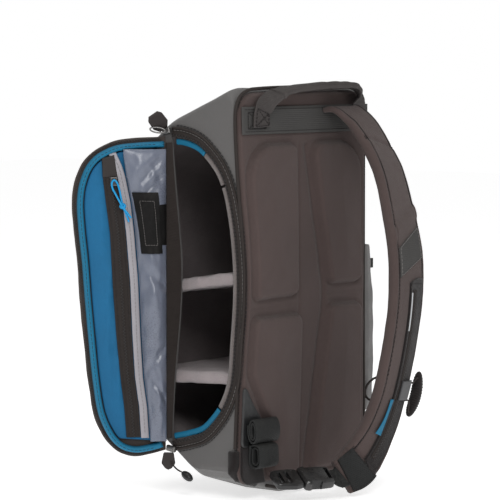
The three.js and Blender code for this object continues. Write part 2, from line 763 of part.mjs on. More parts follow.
// Folded blue tab that peeks out of the strap's pocket.
const blueTab = slab(
  (p, q, t) => onStrap(lerp(0.76, 0.835, q), lerp(-0.3, -0.1, p) - 0.06 * q, t),
  2, 2, 2.8, 4,
);
addPiece("blue_tab", blueTab, "blueCloth");

// Buckle frame: a runs from the strap's end to the webbing, b across, t through.
const buckleStart = vec(-19, -59, 21);
const buckleEnd = vec(-84, -27, 21.5);
const buckleRun = buckleEnd.clone().sub(buckleStart).normalize();
const buckleSide = vec(0.6, 0.7, 0.46);
buckleSide.addScaledVector(buckleRun, -buckleSide.dot(buckleRun)).normalize();
const buckleOut = buckleRun.clone().cross(buckleSide);
if (buckleOut.y > 0) buckleOut.negate();
const onBuckle = (a, b, t) =>
  buckleStart
    .clone()
    .addScaledVector(buckleRun, a)
    .addScaledVector(buckleSide, b)
    .addScaledVector(buckleOut, t);
function bucklePlate(corners, thick, edge) {
  const outline = roundOutline(corners, 2);
  const half = thick / 2;
  return toSolid(
    prism(outline, onBuckle, [[-half, edge], [-half + edge], [half - edge], [half, edge]]),
  );
}
const buckleHole = (a0, a1, b0, b1) =>
  toSolid(prism([[a0, b0], [a1, b0], [a1, b1], [a0, b1]], onBuckle, [[-12], [12]]));
const female = bucklePlate(
  [[4, -12, 4], [32, -15, 4], [37, -13, 3], [37, 13, 3], [32, 15, 4], [4, 12, 4]], 11, 2,
)
  .subtract(buckleHole(7, 10.5, -8.5, 8.5))
  .subtract(buckleHole(19, 30, -18, -11.2))
  .subtract(buckleHole(19, 30, 11.2, 18));
addPiece("buckle_socket", toGeometry(female), "plastic");
const male = bucklePlate(
  [[37.5, -12.5, 3], [46, -14, 2], [66, -12.5, 4], [66, 12.5, 4], [46, 14, 2], [37.5, 12.5, 3]],
  7, 1.4,
)
  .subtract(buckleHole(49, 53, -9, 9))
  .subtract(buckleHole(57, 61, -9, 9));
addPiece("buckle_tongue", toGeometry(male), "plastic");

// Webbing from the strap's end into the buckle.
const strapTail = stationsOf(
  [
    { at: [-9.5, -61.5, 21.5], side: [0.5, 0.2, 0.72], width: 24, thick: 2 },
    { at: [-14, -60.5, 19.5], side: [0.45, 0.4, 0.72], width: 22, thick: 2 },
    { at: [-22.1, -57.5, 20.6], side: [0.6, 0.7, 0.5], width: 20, thick: 2 },
  ],
  4,
  blendSide,
);
addPiece("strap_tail", sweptBar(strapTail, flatBar), "webbing");

// Wing: the leathery tab that anchors the webbing at the left foot.
const wingOutline = roundOutline(
  [[-100, 117, 3], [-86, 99, 12], [-68, 78, 14], [-64, 53, 5], [-100, 53, 5]], 3,
);
const wing = prism(wingOutline, behind, [[panelBase + gap], [panelBase + 2.2], [panelBase + 3, 0.8]]);
addPiece("wing", wing, "leatherette");

// Flattened rolls of webbing: the rolled tail, and the loop through the buckle's ladder.
function flatRoll(outline, innerOutline, x0, x1) {
  const place = (a, b, t) => vec(t, a, b);
  const outer = toSolid(prism(outline, place, [[x0], [x1]]));
  return outer.subtract(toSolid(prism(innerOutline, place, [[x0 - 3], [x1 + 3]])));
}
const roll = flatRoll(
  roundOutline([[-24.2, 57, 7.5], [-8.7, 57, 7.5], [-8.7, 83, 7.5], [-24.2, 83, 7.5]], 3),
  roundOutline([[-18.4, 63, 1.8], [-14.6, 63, 1.8], [-14.6, 77, 1.8], [-18.4, 77, 1.8]], 2),
  -94, -94 + webWidth,
);
addPiece("web_roll", toGeometry(roll), "webbing");
const ladderLoop = flatRoll(
  roundOutline([[-25, 33, 5], [-9.6, 33, 5], [-12, 56.4, 5], [-24, 56.4, 5]], 3),
  roundOutline([[-22.6, 35.4, 3], [-12, 35.4, 3], [-14.4, 54, 3], [-21.6, 54, 3]], 2),
  -92, -92 + webWidth * 0.8,
);
addPiece("web_loop", toGeometry(ladderLoop), "webbing");

// Stretch pocket on the right side: an open pouch with its own back wall.
const pouchRows = [
  { z: 68, bulge: 0.55 }, { z: 73, bulge: 0.8 }, { z: 84, bulge: 0.94 }, { z: 120, bulge: 1 },
  { z: 180, bulge: 0.98 }, { z: 216, bulge: 0.86 }, { z: 240, bulge: 0.78 },
];
const pouchShape = [
  [0, 5], [0.5, 6], [0.86, 10], [1, 19], [1.03, 52], [0.95, 84], [0.75, 101], [0.4, 112], [0, 116],
];
const pouchDepth = 36;
const pouchRing = (bulge, inset) =>
  pouchShape.map(([out, y]) => {
    const x = halfWidth + gap + 0.2 + Math.max(inset * 0.7, out * pouchDepth * bulge - inset);
    return [x, lerp(y, 60, inset / 54)];
  });
const pouchLoft = (rows, inset) =>
  toSolid(loft(rows.map(({ z, bulge }) => pouchRing(bulge, inset).map(([x, y]) => vec(x, y, z)))));
const innerRows = pouchRows.slice(1).map(({ z, bulge }) => ({ z: z + 1, bulge }));
innerRows.push({ z: 250, bulge: 0.75 });
const pouch = pouchLoft(pouchRows, 0).subtract(pouchLoft(innerRows, 2));
addPiece("side_pocket", toGeometry(pouch), "shellCloth");
const tabNear = halfWidth + 31.6;
const pocketTab = boxSolid(tabNear, tabNear + 8, 17, 19, 214, 224);
addPiece("pocket_tab", toGeometry(pocketTab), "webbing");

// Small cords: the side ring, and the pulls of the sliders.
const ring = new THREE.TorusGeometry(14, 1.4, 5, 18).rotateX(Math.PI);
ring.rotateY(-Math.PI / 3.2).translate(halfWidth + 10.8, -10.2, 93);
addPiece("side_cord_ring", ring, "zipCloth");

// Zip sliders of the door at the top and foot of its hinge side.
const onBox = (x, y, z, sx, sy, sz, turn) =>
  new THREE.BoxGeometry(sx, sy, sz).rotateX(turn).translate(x, y, z);
const outOfSide = (out) => -halfWidth - out;
addPiece("slider_top", onBox(outOfSide(3.4), openingFront, 359, 5, 10, 6, -0.3), "wire");
addPiece("slider_foot", onBox(outOfSide(4.1), openingFront - 5.4, 46, 4, 11, 6, 0.15), "wire");

const tabOutline = (long, wide) =>
  roundOutline(
    [
      [0, -wide * 0.36, 1.5],
      [long * 0.55, -wide / 2, 3],
      [long, 0, 4],
      [long * 0.55, wide / 2, 3],
      [0, wide * 0.36, 1.5],
    ],
    2,
  );
function tabAt(start, run, side, long, wide, thick) {
  const r = vec(...run).normalize();
  const s = vec(...side);
  s.addScaledVector(r, -s.dot(r)).normalize();
  const n = r.clone().cross(s);
  const place = (a, b, t) =>
    vec(...start).addScaledVector(r, a).addScaledVector(s, b).addScaledVector(n, t);
  const half = thick / 2;
  return prism(tabOutline(long, wide), place, [[-half, 0.6], [-half + 0.8], [half - 0.8], [half, 0.6]]);
}
const topTab = tabAt([outOfSide(7.9), 86.6, 361.6], [-0.25, 0.45, 0.9], [0.64, -0.77, 0.4], 19, 19, 3);
addPiece("pull_tab_top", topTab, "rubberTab");
const footTab = tabAt([outOfSide(6.3), 80, 42.4], [0, 0.03, -1], [0.64, -0.77, 0], 20, 14, 3);
addPiece("pull_tab_foot", footTab, "rubberTab");

const toggleCord = [
  [outOfSide(6.3), 77, 33.2], [outOfSide(7), 72, 29], [outOfSide(7), 67, 26],
  [outOfSide(7), 62.4, 24.6],
];
addPiece("toggle_cord", cordThrough(toggleCord, 0.9, 6, 6), "zipCloth");
const toggle = new THREE.SphereGeometry(1, 9, 6).scale(4.6, 7.6, 4.4).rotateX(0.5);
toggle.translate(outOfSide(7), 55.2, 21);
addPiece("toggle", toggle, "plastic");

// Slider and blue cord pull of the door pocket's zip: (from the hinge, height, out of the tape).
const pocketSlider = slab(
  (p, q, t) => onDoor(lerp(51, 58, p), lerp(306, 315, q), t), 1, 1, tapeFace + 2.8, tapeFace + 5,
);
addPiece("pocket_slider", pocketSlider, "wire");
const pullHeight = tapeFace + 5;
const pullLoop = [
  [38, 275, 2.6], [42, 280, 3.4], [46.4, 286, 4.2], [52, 296, 2.4], [56.4, 305, 1.5],
  [56.6, 309.5, 1.4], [54.6, 312, 1.4], [52, 310, 1.4], [49.4, 303, 1.4], [47.6, 294, 1.4],
  [45.8, 286, 1.5], [42.6, 278, 1.4], [40, 271, 1.4],
].map(([a, b, t]) => onDoor(a, b, pullHeight + t).toArray());
addPiece("blue_pull_cord", cordThrough(pullLoop, 0.95, 5, 28), "blueCord");

const baseMiddle = 34;
bag.position.set(0, -baseMiddle, 0);
const root = new THREE.Group();
root.add(bag);
export default root;
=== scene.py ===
# Camera sling bag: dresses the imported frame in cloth, foam, webbing and zips.
# Sizes below are in millimetres and in the part's own depth, until toFrame turns them into metres.
import math

import bmesh
import bpy
import numpy as np
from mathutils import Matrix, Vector, noise


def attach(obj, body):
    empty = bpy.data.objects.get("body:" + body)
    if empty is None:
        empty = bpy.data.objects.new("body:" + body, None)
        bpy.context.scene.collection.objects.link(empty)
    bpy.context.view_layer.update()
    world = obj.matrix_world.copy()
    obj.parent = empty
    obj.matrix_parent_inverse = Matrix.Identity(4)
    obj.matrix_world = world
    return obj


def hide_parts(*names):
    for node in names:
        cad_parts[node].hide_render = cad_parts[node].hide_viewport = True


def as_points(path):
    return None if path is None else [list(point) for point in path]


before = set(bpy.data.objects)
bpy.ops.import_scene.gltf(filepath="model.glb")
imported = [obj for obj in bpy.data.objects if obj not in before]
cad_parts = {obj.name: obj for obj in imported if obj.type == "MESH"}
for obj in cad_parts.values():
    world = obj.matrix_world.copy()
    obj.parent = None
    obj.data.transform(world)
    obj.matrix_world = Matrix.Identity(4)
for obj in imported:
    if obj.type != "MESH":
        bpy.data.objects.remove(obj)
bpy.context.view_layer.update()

shiftY = 34.0  # the frame's origin lies this far in from the back panel

cameraSetup = {
    "azimuth": -50.0,
    "elevation": 4.0,
    "distance": 3.0,
    "lens": 216.0,
    "target": (-0.0154, 0.0183, 0.2389),
}


def placeCamera(setup):
    turn = math.radians(setup["azimuth"])
    lift = math.radians(setup["elevation"])
    ahead = Vector(
        (-math.sin(turn) * math.cos(lift), math.cos(turn) * math.cos(lift), -math.sin(lift))
    )
    data = bpy.data.cameras.new("camera")
    data.lens = setup["lens"]
    data.sensor_width = 36.0
    data.clip_end = 50.0
    camera = bpy.data.objects.new("camera", data)
    camera.location = Vector(setup["target"]) - ahead * setup["distance"]
    camera.rotation_euler = ahead.to_track_quat("-Z", "Y").to_euler()
    bpy.context.scene.collection.objects.link(camera)
    bpy.context.scene.camera = camera


placeCamera(cameraSetup)
print("camera placed")


def newGroup(name, inputs, outputs):
    group = bpy.data.node_groups.new(name, "ShaderNodeTree")
    for socketName, kind, value in inputs:
        socket = group.interface.new_socket(socketName, in_out="INPUT", socket_type=kind)
        socket.default_value = value
    for socketName, kind in outputs:
        group.interface.new_socket(socketName, in_out="OUTPUT", socket_type=kind)
    return group, group.nodes.new("NodeGroupInput"), group.nodes.new("NodeGroupOutput")


def connect(tree, source, target):
    if isinstance(source, (int, float, tuple)):
        target.default_value = source
    else:
        tree.links.new(source, target)


def mathNode(tree, operation, *values):
    node = tree.nodes.new("ShaderNodeMath")
    node.operation = operation
    for i, value in enumerate(values):
        connect(tree, value, node.inputs[i])
    return node.outputs[0]


def mixColour(tree, share, first, second, mode="MIX"):
    node = tree.nodes.new("ShaderNodeMix")
    node.data_type = "RGBA"
    node.blend_type = mode
    connect(tree, share, node.inputs["Factor"])
    connect(tree, first, node.inputs[6])
    connect(tree, second, node.inputs[7])
    return node.outputs[2]


def objectPlace(tree):
    place = tree.nodes.new("ShaderNodeTexCoord").outputs["Object"]
    split = tree.nodes.new("ShaderNodeSeparateXYZ")
    tree.links.new(place, split.inputs[0])
    return place, split.outputs


def noiseNode(tree, place, scale, detail=3.0):
    node = tree.nodes.new("ShaderNodeTexNoise")
    connect(tree, place, node.inputs["Vector"])
    connect(tree, scale, node.inputs["Scale"])
    node.inputs["Detail"].default_value = detail
    return node.outputs["Fac"]


def buildWeave():
    group, start, end = newGroup(
        "weave",
        [("Thread", "NodeSocketFloat", 1.0), ("Fuzz", "NodeSocketFloat", 0.3)],
        [("Height", "NodeSocketFloat")],
    )
    place, (x, y, z) = objectPlace(group)
    pitch = mathNode(group, "DIVIDE", 6283.2, start.outputs["Thread"])
    across = mathNode(group, "ADD", x, mathNode(group, "MULTIPLY", y, 0.8))
    up = mathNode(group, "ADD", z, mathNode(group, "MULTIPLY", y, 0.3))
    warp = mathNode(group, "SINE", mathNode(group, "MULTIPLY", across, pitch))
    weft = mathNode(group, "SINE", mathNode(group, "MULTIPLY", up, pitch))
    thread = mathNode(group, "MULTIPLY", mathNode(group, "MULTIPLY", warp, weft), 0.3)
    fuzz = mathNode(group, "MULTIPLY", noiseNode(group, place, 1400.0), start.outputs["Fuzz"])
    connect(group, mathNode(group, "ADD", thread, fuzz), end.inputs["Height"])
    return group


def buildKnit():
    group, start, end = newGroup(
        "knitLoops",
        [("Loop", "NodeSocketFloat", 1.6), ("Fuzz", "NodeSocketFloat", 0.4)],
        [("Height", "NodeSocketFloat")],
    )
    place, (x, y, z) = objectPlace(group)
    pitch = mathNode(group, "DIVIDE", 6283.2, start.outputs["Loop"])
    along = mathNode(group, "MULTIPLY", z, pitch)
    bend = mathNode(group, "MULTIPLY", mathNode(group, "SINE", along), 0.9)
    side = mathNode(group, "MULTIPLY", mathNode(group, "ADD", x, y), pitch)
    loops = mathNode(group, "ABSOLUTE", mathNode(group, "SINE", mathNode(group, "ADD", side, bend)))
    fuzz = mathNode(group, "MULTIPLY", noiseNode(group, place, 900.0), start.outputs["Fuzz"])
    total = mathNode(group, "ADD", mathNode(group, "MULTIPLY", loops, 0.4), fuzz)
    connect(group, total, end.inputs["Height"])
    return group


def buildRibs():
    group, start, end = newGroup(
        "webbingRibs",
        [("Across", "NodeSocketVector", (1.0, 0.0, 0.0)), ("Pitch", "NodeSocketFloat", 2.0)],
        [("Height", "NodeSocketFloat")],
    )
    place = objectPlace(group)[0]
    dot = group.nodes.new("ShaderNodeVectorMath")
    dot.operation = "DOT_PRODUCT"
    connect(group, place, dot.inputs[0])
    connect(group, start.outputs["Across"], dot.inputs[1])
    pitch = mathNode(group, "DIVIDE", 6283.2, start.outputs["Pitch"])
    across = mathNode(group, "MULTIPLY", dot.outputs["Value"], pitch)
    ribs = mathNode(group, "MULTIPLY", mathNode(group, "SINE", across), 0.35)
    picks = mathNode(group, "MULTIPLY", noiseNode(group, place, 1100.0), 0.5)
    connect(group, mathNode(group, "ADD", ribs, picks), end.inputs["Height"])
    return group


def buildMottle():
    group, start, end = newGroup(
        "mottle",
        [
            ("Color", "NodeSocketColor", (0.1, 0.1, 0.1, 1.0)),
            ("Spread", "NodeSocketFloat", 0.2),
            ("Patches", "NodeSocketFloat", 18.0),
            ("Roughness", "NodeSocketFloat", 0.8),
        ],
        [("Color", "NodeSocketColor"), ("Roughness", "NodeSocketFloat")],
    )
    place = objectPlace(group)[0]
    broad = noiseNode(group, place, start.outputs["Patches"], 5.0)
    fine = noiseNode(group, place, 700.0)
    both = mathNode(group, "ADD", broad, mathNode(group, "MULTIPLY", fine, 0.45))
    swing = mathNode(group, "SUBTRACT", both, 0.72)
    gain = mathNode(group, "MULTIPLY", swing, start.outputs["Spread"])
    level = mathNode(group, "ADD", mathNode(group, "MULTIPLY", gain, 3.0), 1.0)
    scaled = group.nodes.new("ShaderNodeVectorMath")
    scaled.operation = "SCALE"
    connect(group, start.outputs["Color"], scaled.inputs[0])
    connect(group, level, scaled.inputs["Scale"])
    connect(group, scaled.outputs[0], end.inputs["Color"])
    rough = mathNode(group, "ADD", start.outputs["Roughness"], mathNode(group, "MULTIPLY", swing, 0.2))
    connect(group, rough, end.inputs["Roughness"])
    return group


def buildWear():
    group, start, end = newGroup(
        "edgeWear",
        [
            ("Color", "NodeSocketColor", (0.1, 0.1, 0.1, 1.0)),
            ("Worn", "NodeSocketColor", (0.3, 0.3, 0.3, 1.0)),
            ("Amount", "NodeSocketFloat", 0.4),
        ],
        [("Color", "NodeSocketColor")],
    )
    place = objectPlace(group)[0]
    point = group.nodes.new("ShaderNodeNewGeometry").outputs["Pointiness"]
    sharp = group.nodes.new("ShaderNodeMapRange")
    connect(group, point, sharp.inputs["Value"])
    sharp.inputs["From Min"].default_value = 0.51
    sharp.inputs["From Max"].default_value = 0.60
    patchy = mathNode(group, "ADD", noiseNode(group, place, 140.0), 0.35)
    share = mathNode(group, "MULTIPLY", sharp.outputs["Result"], patchy)
    share = mathNode(group, "MULTIPLY", share, start.outputs["Amount"])
    mixed = mixColour(group, share, start.outputs["Color"], start.outputs["Worn"])
    connect(group, mixed, end.inputs["Color"])
    return group


def buildDust():
    group, start, end = newGroup(
        "dust",
        [
            ("Color", "NodeSocketColor", (0.1, 0.1, 0.1, 1.0)),
            ("Dust", "NodeSocketColor", (0.35, 0.33, 0.3, 1.0)),
            ("Amount", "NodeSocketFloat", 0.1),
        ],
        [("Color", "NodeSocketColor")],
    )
    place = objectPlace(group)[0]
    normal = group.nodes.new("ShaderNodeNewGeometry").outputs["Normal"]
    split = group.nodes.new("ShaderNodeSeparateXYZ")
    connect(group, normal, split.inputs[0])
    upward = mathNode(group, "ADD", mathNode(group, "MAXIMUM", split.outputs[2], 0.0), 0.15)
    specks = mathNode(group, "POWER", noiseNode(group, place, 260.0, 6.0), 2.0)
    share = mathNode(group, "MULTIPLY", upward, specks)
    share = mathNode(group, "MULTIPLY", share, start.outputs["Amount"])
    mixed = mixColour(group, share, start.outputs["Color"], start.outputs["Dust"])
    connect(group, mixed, end.inputs["Color"])
    return group


groups = {
    "weave": buildWeave(),
    "knitLoops": buildKnit(),
    "webbingRibs": buildRibs(),
    "mottle": buildMottle(),
    "edgeWear": buildWear(),
    "dust": buildDust(),
}


def linear(colour):
    out = []
    for value in colour:
        share = value / 255.0
        out.append(share / 12.92 if share <= 0.04045 else ((share + 0.055) / 1.055) ** 2.4)
    return (*out, 1.0)


def placeGroup(tree, name, **values):
    node = tree.nodes.new("ShaderNodeGroup")
    node.node_tree = groups[name]
    for key, value in values.items():
        connect(tree, value, node.inputs[key])
    return node.outputs


# relief: which group makes the surface pattern; depth: bump in mm; folds: soft creases in mm.
def makeMaterial(name, look):
    material = bpy.data.materials.new(name)
    material.use_nodes = True
    tree = material.node_tree
    tree.nodes.clear()
    output = tree.nodes.new("ShaderNodeOutputMaterial")
    shader = tree.nodes.new("ShaderNodeBsdfPrincipled")
    tree.links.new(shader.outputs[0], output.inputs[0])
    colour = linear(look["colour"])
    mottled = placeGroup(
        tree,
        "mottle",
        Color=colour,
        Spread=look.get("spread", 0.2),
        Patches=look.get("patches", 18.0),
        Roughness=look.get("roughness", 0.85),
    )
    worn = placeGroup(
        tree,
        "edgeWear",
        Color=mottled["Color"],
        Worn=linear(look.get("worn", [min(255, v * 1.5) for v in look["colour"]])),
        Amount=look.get("wear", 0.4),
    )
    dusty = placeGroup(tree, "dust", Color=worn["Color"], Amount=look.get("dust", 0.12))
    tree.links.new(dusty["Color"], shader.inputs["Base Color"])
    tree.links.new(mottled["Roughness"], shader.inputs["Roughness"])
    shader.inputs["Metallic"].default_value = look.get("metallic", 0.0)
    shader.inputs["Specular IOR Level"].default_value = look.get("specular", 0.35)
    shader.inputs["Sheen Weight"].default_value = look.get("sheen", 0.0)
    shader.inputs["Sheen Roughness"].default_value = 0.5
    shader.inputs["Coat Weight"].default_value = look.get("coat", 0.0)
    shader.inputs["Coat Roughness"].default_value = 0.3
    normal = None
    if look.get("folds", 0):
        place = objectPlace(tree)[0]
        broad = tree.nodes.new("ShaderNodeBump")
        broad.inputs["Distance"].default_value = look["folds"] / 1000.0
        connect(tree, noiseNode(tree, place, look.get("foldScale", 45.0), 4.0), broad.inputs["Height"])
        normal = broad.outputs[0]
    if look.get("relief"):
        relief = placeGroup(tree, look["relief"], **look.get("reliefValues", {}))
        bump = tree.nodes.new("ShaderNodeBump")
        bump.inputs["Distance"].default_value = look.get("depth", 0.2) / 1000.0
        tree.links.new(relief["Height"], bump.inputs["Height"])
        if normal is not None:
            tree.links.new(normal, bump.inputs["Normal"])
        normal = bump.outputs[0]
    if normal is not None:
        tree.links.new(normal, shader.inputs["Normal"])
    if look.get("alpha"):
        place = objectPlace(tree)[0]
        cloud = mathNode(tree, "MULTIPLY", noiseNode(tree, place, 30.0, 4.0), 0.35)
        connect(tree, mathNode(tree, "ADD", cloud, look["alpha"]), shader.inputs["Alpha"])
    return material


looks = {
    "shellCloth": {
        "colour": (88, 86, 85), "roughness": 0.6, "sheen": 0.15, "spread": 0.16, "patches": 9.0,
        "relief": "weave", "reliefValues": {"Thread": 0.9, "Fuzz": 0.3}, "depth": 0.12,
        "folds": 1.1, "foldScale": 26.0, "wear": 0.35, "specular": 0.4,
    },
    "knit": {
        "colour": (76, 65, 63), "roughness": 0.95, "sheen": 0.1, "spread": 0.14, "patches": 12.0,
        "relief": "knitLoops", "reliefValues": {"Loop": 1.5, "Fuzz": 0.6}, "depth": 0.28,
        "folds": 0.8, "foldScale": 22.0, "wear": 0.15, "specular": 0.08,
    },
    "doorEdge": {
        "colour": (62, 55, 52), "roughness": 0.7, "spread": 0.18, "patches": 14.0, "sheen": 0.05,
        "relief": "weave", "reliefValues": {"Thread": 0.9, "Fuzz": 0.3}, "depth": 0.12,
        "folds": 1.0, "foldScale": 26.0, "wear": 0.2, "specular": 0.2,
    },
    "webbing": {
        "colour": (47, 47, 46), "roughness": 0.72, "spread": 0.22, "patches": 40.0,
        "relief": "webbingRibs", "reliefValues": {"Across": (0.3, 0.3, 1.0), "Pitch": 2.2},
        "depth": 0.3, "wear": 0.3, "specular": 0.2,
    },
    "yokeWeb": {
        "colour": (64, 63, 62), "roughness": 0.75, "spread": 0.16, "patches": 40.0,
        "relief": "webbingRibs", "reliefValues": {"Across": (0.0, 0.0, 1.0), "Pitch": 1.9},
        "depth": 0.22, "wear": 0.25, "specular": 0.22,
    },
    "bandWeb": {
        "colour": (28, 29, 29), "roughness": 0.6, "spread": 0.22, "patches": 40.0,
        "relief": "webbingRibs", "reliefValues": {"Across": (0.5, 0.2, 1.0), "Pitch": 1.9},
        "depth": 0.3, "wear": 0.25, "specular": 0.22,
    },
    "elastic": {
        "colour": (44, 44, 46), "roughness": 0.36, "spread": 0.14, "patches": 30.0,
        "relief": "webbingRibs", "reliefValues": {"Across": (0.2, 0.2, 1.0), "Pitch": 1.2},
        "depth": 0.12, "wear": 0.4, "specular": 0.45,
    },
    "handleWeb": {
        "colour": (62, 58, 57), "roughness": 0.7, "spread": 0.2, "patches": 40.0,
        "relief": "webbingRibs", "reliefValues": {"Across": (0.0, 1.0, 0.6), "Pitch": 2.2},
        "depth": 0.3, "wear": 0.3, "specular": 0.22,
    },
    # the fleece's grey set darker than its own colour, as painted shade for the bag's dim inside
    "lining": {
        "colour": (112, 104, 104), "roughness": 0.95, "spread": 0.3, "relief": "weave",
        "reliefValues": {"Thread": 1.1, "Fuzz": 0.6}, "depth": 0.2, "folds": 1.2, "sheen": 0.1,
    },
    "blueCloth": {
        "colour": (26, 98, 140), "roughness": 0.72, "spread": 0.16, "patches": 14.0,
        "relief": "weave", "reliefValues": {"Thread": 0.8, "Fuzz": 0.25}, "depth": 0.12,
        "folds": 1.6, "foldScale": 34.0, "wear": 0.1, "dust": 0.04, "specular": 0.25,
    },
    "blueRim": {
        "colour": (15, 100, 132), "roughness": 0.6, "spread": 0.14, "patches": 20.0,
        "relief": "weave", "reliefValues": {"Thread": 1.0, "Fuzz": 0.3}, "depth": 0.14,
        "folds": 0.5, "wear": 0.3, "dust": 0.04, "specular": 0.3,
    },
    "fleece": {
        "colour": (158, 147, 148), "roughness": 1.0, "spread": 0.2, "patches": 30.0,
        "relief": "knitLoops", "reliefValues": {"Loop": 1.1, "Fuzz": 1.2}, "depth": 0.45,
        "folds": 1.4, "foldScale": 40.0, "sheen": 0.4, "wear": 0.0, "specular": 0.15,
    },
    # a darker copy of the divider fleece: painted shade on the opening's inner lip
    "lipFleece": {
        "colour": (116, 108, 106), "roughness": 1.0, "spread": 0.22, "patches": 30.0,
        "relief": "knitLoops", "reliefValues": {"Loop": 1.1, "Fuzz": 1.2}, "depth": 0.45,
        "folds": 1.4, "foldScale": 40.0, "sheen": 0.3, "wear": 0.0, "specular": 0.1,
    },
    "film": {
        "colour": (112, 118, 134), "roughness": 0.3, "spread": 0.2, "patches": 9.0,
        "folds": 2.6, "foldScale": 18.0, "alpha": 0.6, "wear": 0.0, "dust": 0.02,
        "specular": 0.6, "coat": 0.35,
    },
    "binding": {
        "colour": (158, 155, 160), "roughness": 0.7, "spread": 0.1, "relief": "webbingRibs",
        "reliefValues": {"Across": (0.3, 0.2, 1.0), "Pitch": 1.3}, "depth": 0.15, "wear": 0.0,
        "folds": 0.6, "dust": 0.03,
    },
    "zipCloth": {
        "colour": (44, 39, 37), "roughness": 0.75, "spread": 0.2, "patches": 30.0,
        "relief": "webbingRibs", "reliefValues": {"Across": (0.2, 0.2, 1.0), "Pitch": 1.5},
        "depth": 0.22, "wear": 0.3, "specular": 0.2,
    },
    "teeth": {
        "colour": (38, 36, 36), "roughness": 0.45, "spread": 0.2, "wear": 0.6, "specular": 0.3,
    },
    "label": {
        "colour": (15, 14, 14), "roughness": 0.6, "spread": 0.15, "relief": "webbingRibs",
        "reliefValues": {"Across": (0.0, 0.0, 1.0), "Pitch": 0.9}, "depth": 0.1, "wear": 0.05,
        "specular": 0.15,
    },
    "thread": {
        "colour": (120, 116, 114), "roughness": 0.7, "spread": 0.1, "wear": 0.0, "dust": 0.0,
    },
    "darkThread": {
        "colour": (36, 32, 32), "roughness": 0.8, "spread": 0.1, "wear": 0.0, "dust": 0.0,
    },
    "blueCord": {
        "colour": (26, 150, 208), "roughness": 0.6, "spread": 0.12, "relief": "weave",
        "reliefValues": {"Thread": 0.7, "Fuzz": 0.3}, "depth": 0.15, "wear": 0.0, "dust": 0.0,
    },
    "leatherette": {
        "colour": (31, 32, 33), "roughness": 0.36, "spread": 0.2, "patches": 60.0,
        "relief": "weave", "reliefValues": {"Thread": 2.4, "Fuzz": 1.0}, "depth": 0.12,
        "folds": 1.4, "foldScale": 60.0, "wear": 0.5, "worn": (92, 92, 92), "specular": 0.4,
    },
    "cornerKnit": {
        "colour": (30, 26, 26), "roughness": 0.9, "spread": 0.2, "relief": "knitLoops",
        "reliefValues": {"Loop": 1.4, "Fuzz": 0.6}, "depth": 0.25, "folds": 1.2,
        "foldScale": 50.0, "sheen": 0.2, "wear": 0.1,
        "specular": 0.08,
    },
    "plastic": {
        "colour": (15, 15, 16), "roughness": 0.24, "spread": 0.1, "patches": 120.0,
        "wear": 0.45, "worn": (96, 94, 94), "specular": 0.38, "coat": 0.15,
    },
    "rubber": {
        "colour": (50, 45, 44), "roughness": 0.6, "spread": 0.15, "relief": "weave",
        "reliefValues": {"Thread": 3.0, "Fuzz": 0.8}, "depth": 0.08, "wear": 0.3,
        "specular": 0.22,
    },
    "metal": {
        "colour": (70, 68, 68), "roughness": 0.35, "spread": 0.15, "metallic": 0.85,
        "wear": 0.8, "worn": (170, 168, 165), "specular": 0.5,
    },
    "silverTape": {
        "colour": (188, 190, 192), "roughness": 0.4, "spread": 0.08, "wear": 0.0, "dust": 0.05,
    },
}
paint = {name: makeMaterial(name, look) for name, look in looks.items()}
print("materials made:", len(paint))


def toFrame(points):
    return (np.asarray(points, float).reshape(-1, 3) - (0.0, shiftY, 0.0)) * 0.001


def addPiece(obj, slot, replaced=()):
    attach(obj, "root")
    if replaced:
        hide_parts(*replaced)
    return obj


def makeMesh(name, points, faces, material, slot, replaced=(), smooth=True):
    data = bpy.data.meshes.new(name)
    data.from_pydata([tuple(p) for p in toFrame(points)], [], faces)
    data.update()
    shape = bmesh.new()
    shape.from_mesh(data)
    bmesh.ops.remove_doubles(shape, verts=shape.verts, dist=1e-6)
    bmesh.ops.recalc_face_normals(shape, faces=shape.faces)
    shape.to_mesh(data)
    shape.free()
    data.polygons.foreach_set("use_smooth", [smooth] * len(data.polygons))
    obj = bpy.data.objects.new(name, data)
    bpy.context.scene.collection.objects.link(obj)
    data.materials.append(paint[material])
    return addPiece(obj, slot, replaced)


def gridFaces(rows, columns, closedColumns=False, closedRows=False, first=0):
    faces = []
    for i in range(rows if closedRows else rows - 1):
        for j in range(columns if closedColumns else columns - 1):
            k = (i + 1) % rows
            m = (j + 1) % columns
            faces.append(
                (first + i * columns + j, first + i * columns + m,
                 first + k * columns + m, first + k * columns + j)
            )
    return faces


def loftRings(rings, closed=False, caps=True):
    rings = [np.asarray(r, float) for r in rings]
    columns = len(rings[0])
    points = np.concatenate(rings)
    faces = gridFaces(len(rings), columns, True, closed)
    if caps and not closed:
        last = (len(rings) - 1) * columns
        faces.append(tuple(range(columns)))
        faces.append(tuple(last + j for j in reversed(range(columns))))
    return points, faces


def unit(v):
    v = np.asarray(v, float)
    return v / max(1e-9, np.linalg.norm(v))


def spline(points, count):
    # centripetal curve through the points, with count + 1 samples at even shares of its spans
    p = [np.asarray(q, float) for q in points]
    p = [2 * p[0] - p[1], *p, 2 * p[-1] - p[-2]]
    spans = len(p) - 3
    out = []
    for n in range(count + 1):
        share = spans * n / count
        i = min(spans - 1, int(share))
        t = share - i
        a, b, c, d = p[i : i + 4]
        k0, k1, k2 = (max(1e-4, np.linalg.norm(v - u)) ** 0.5 for u, v in ((a, b), (b, c), (c, d)))
        s0 = ((b - a) / k0 - (c - a) / (k0 + k1) + (c - b) / k1) * k1
        s1 = ((c - b) / k1 - (d - b) / (k1 + k2) + (d - c) / k2) * k1
        out.append(
            b + s0 * t + (-3 * b + 3 * c - 2 * s0 - s1) * t * t + (2 * b - 2 * c + s0 + s1) * t**3
        )
    return np.array(out)


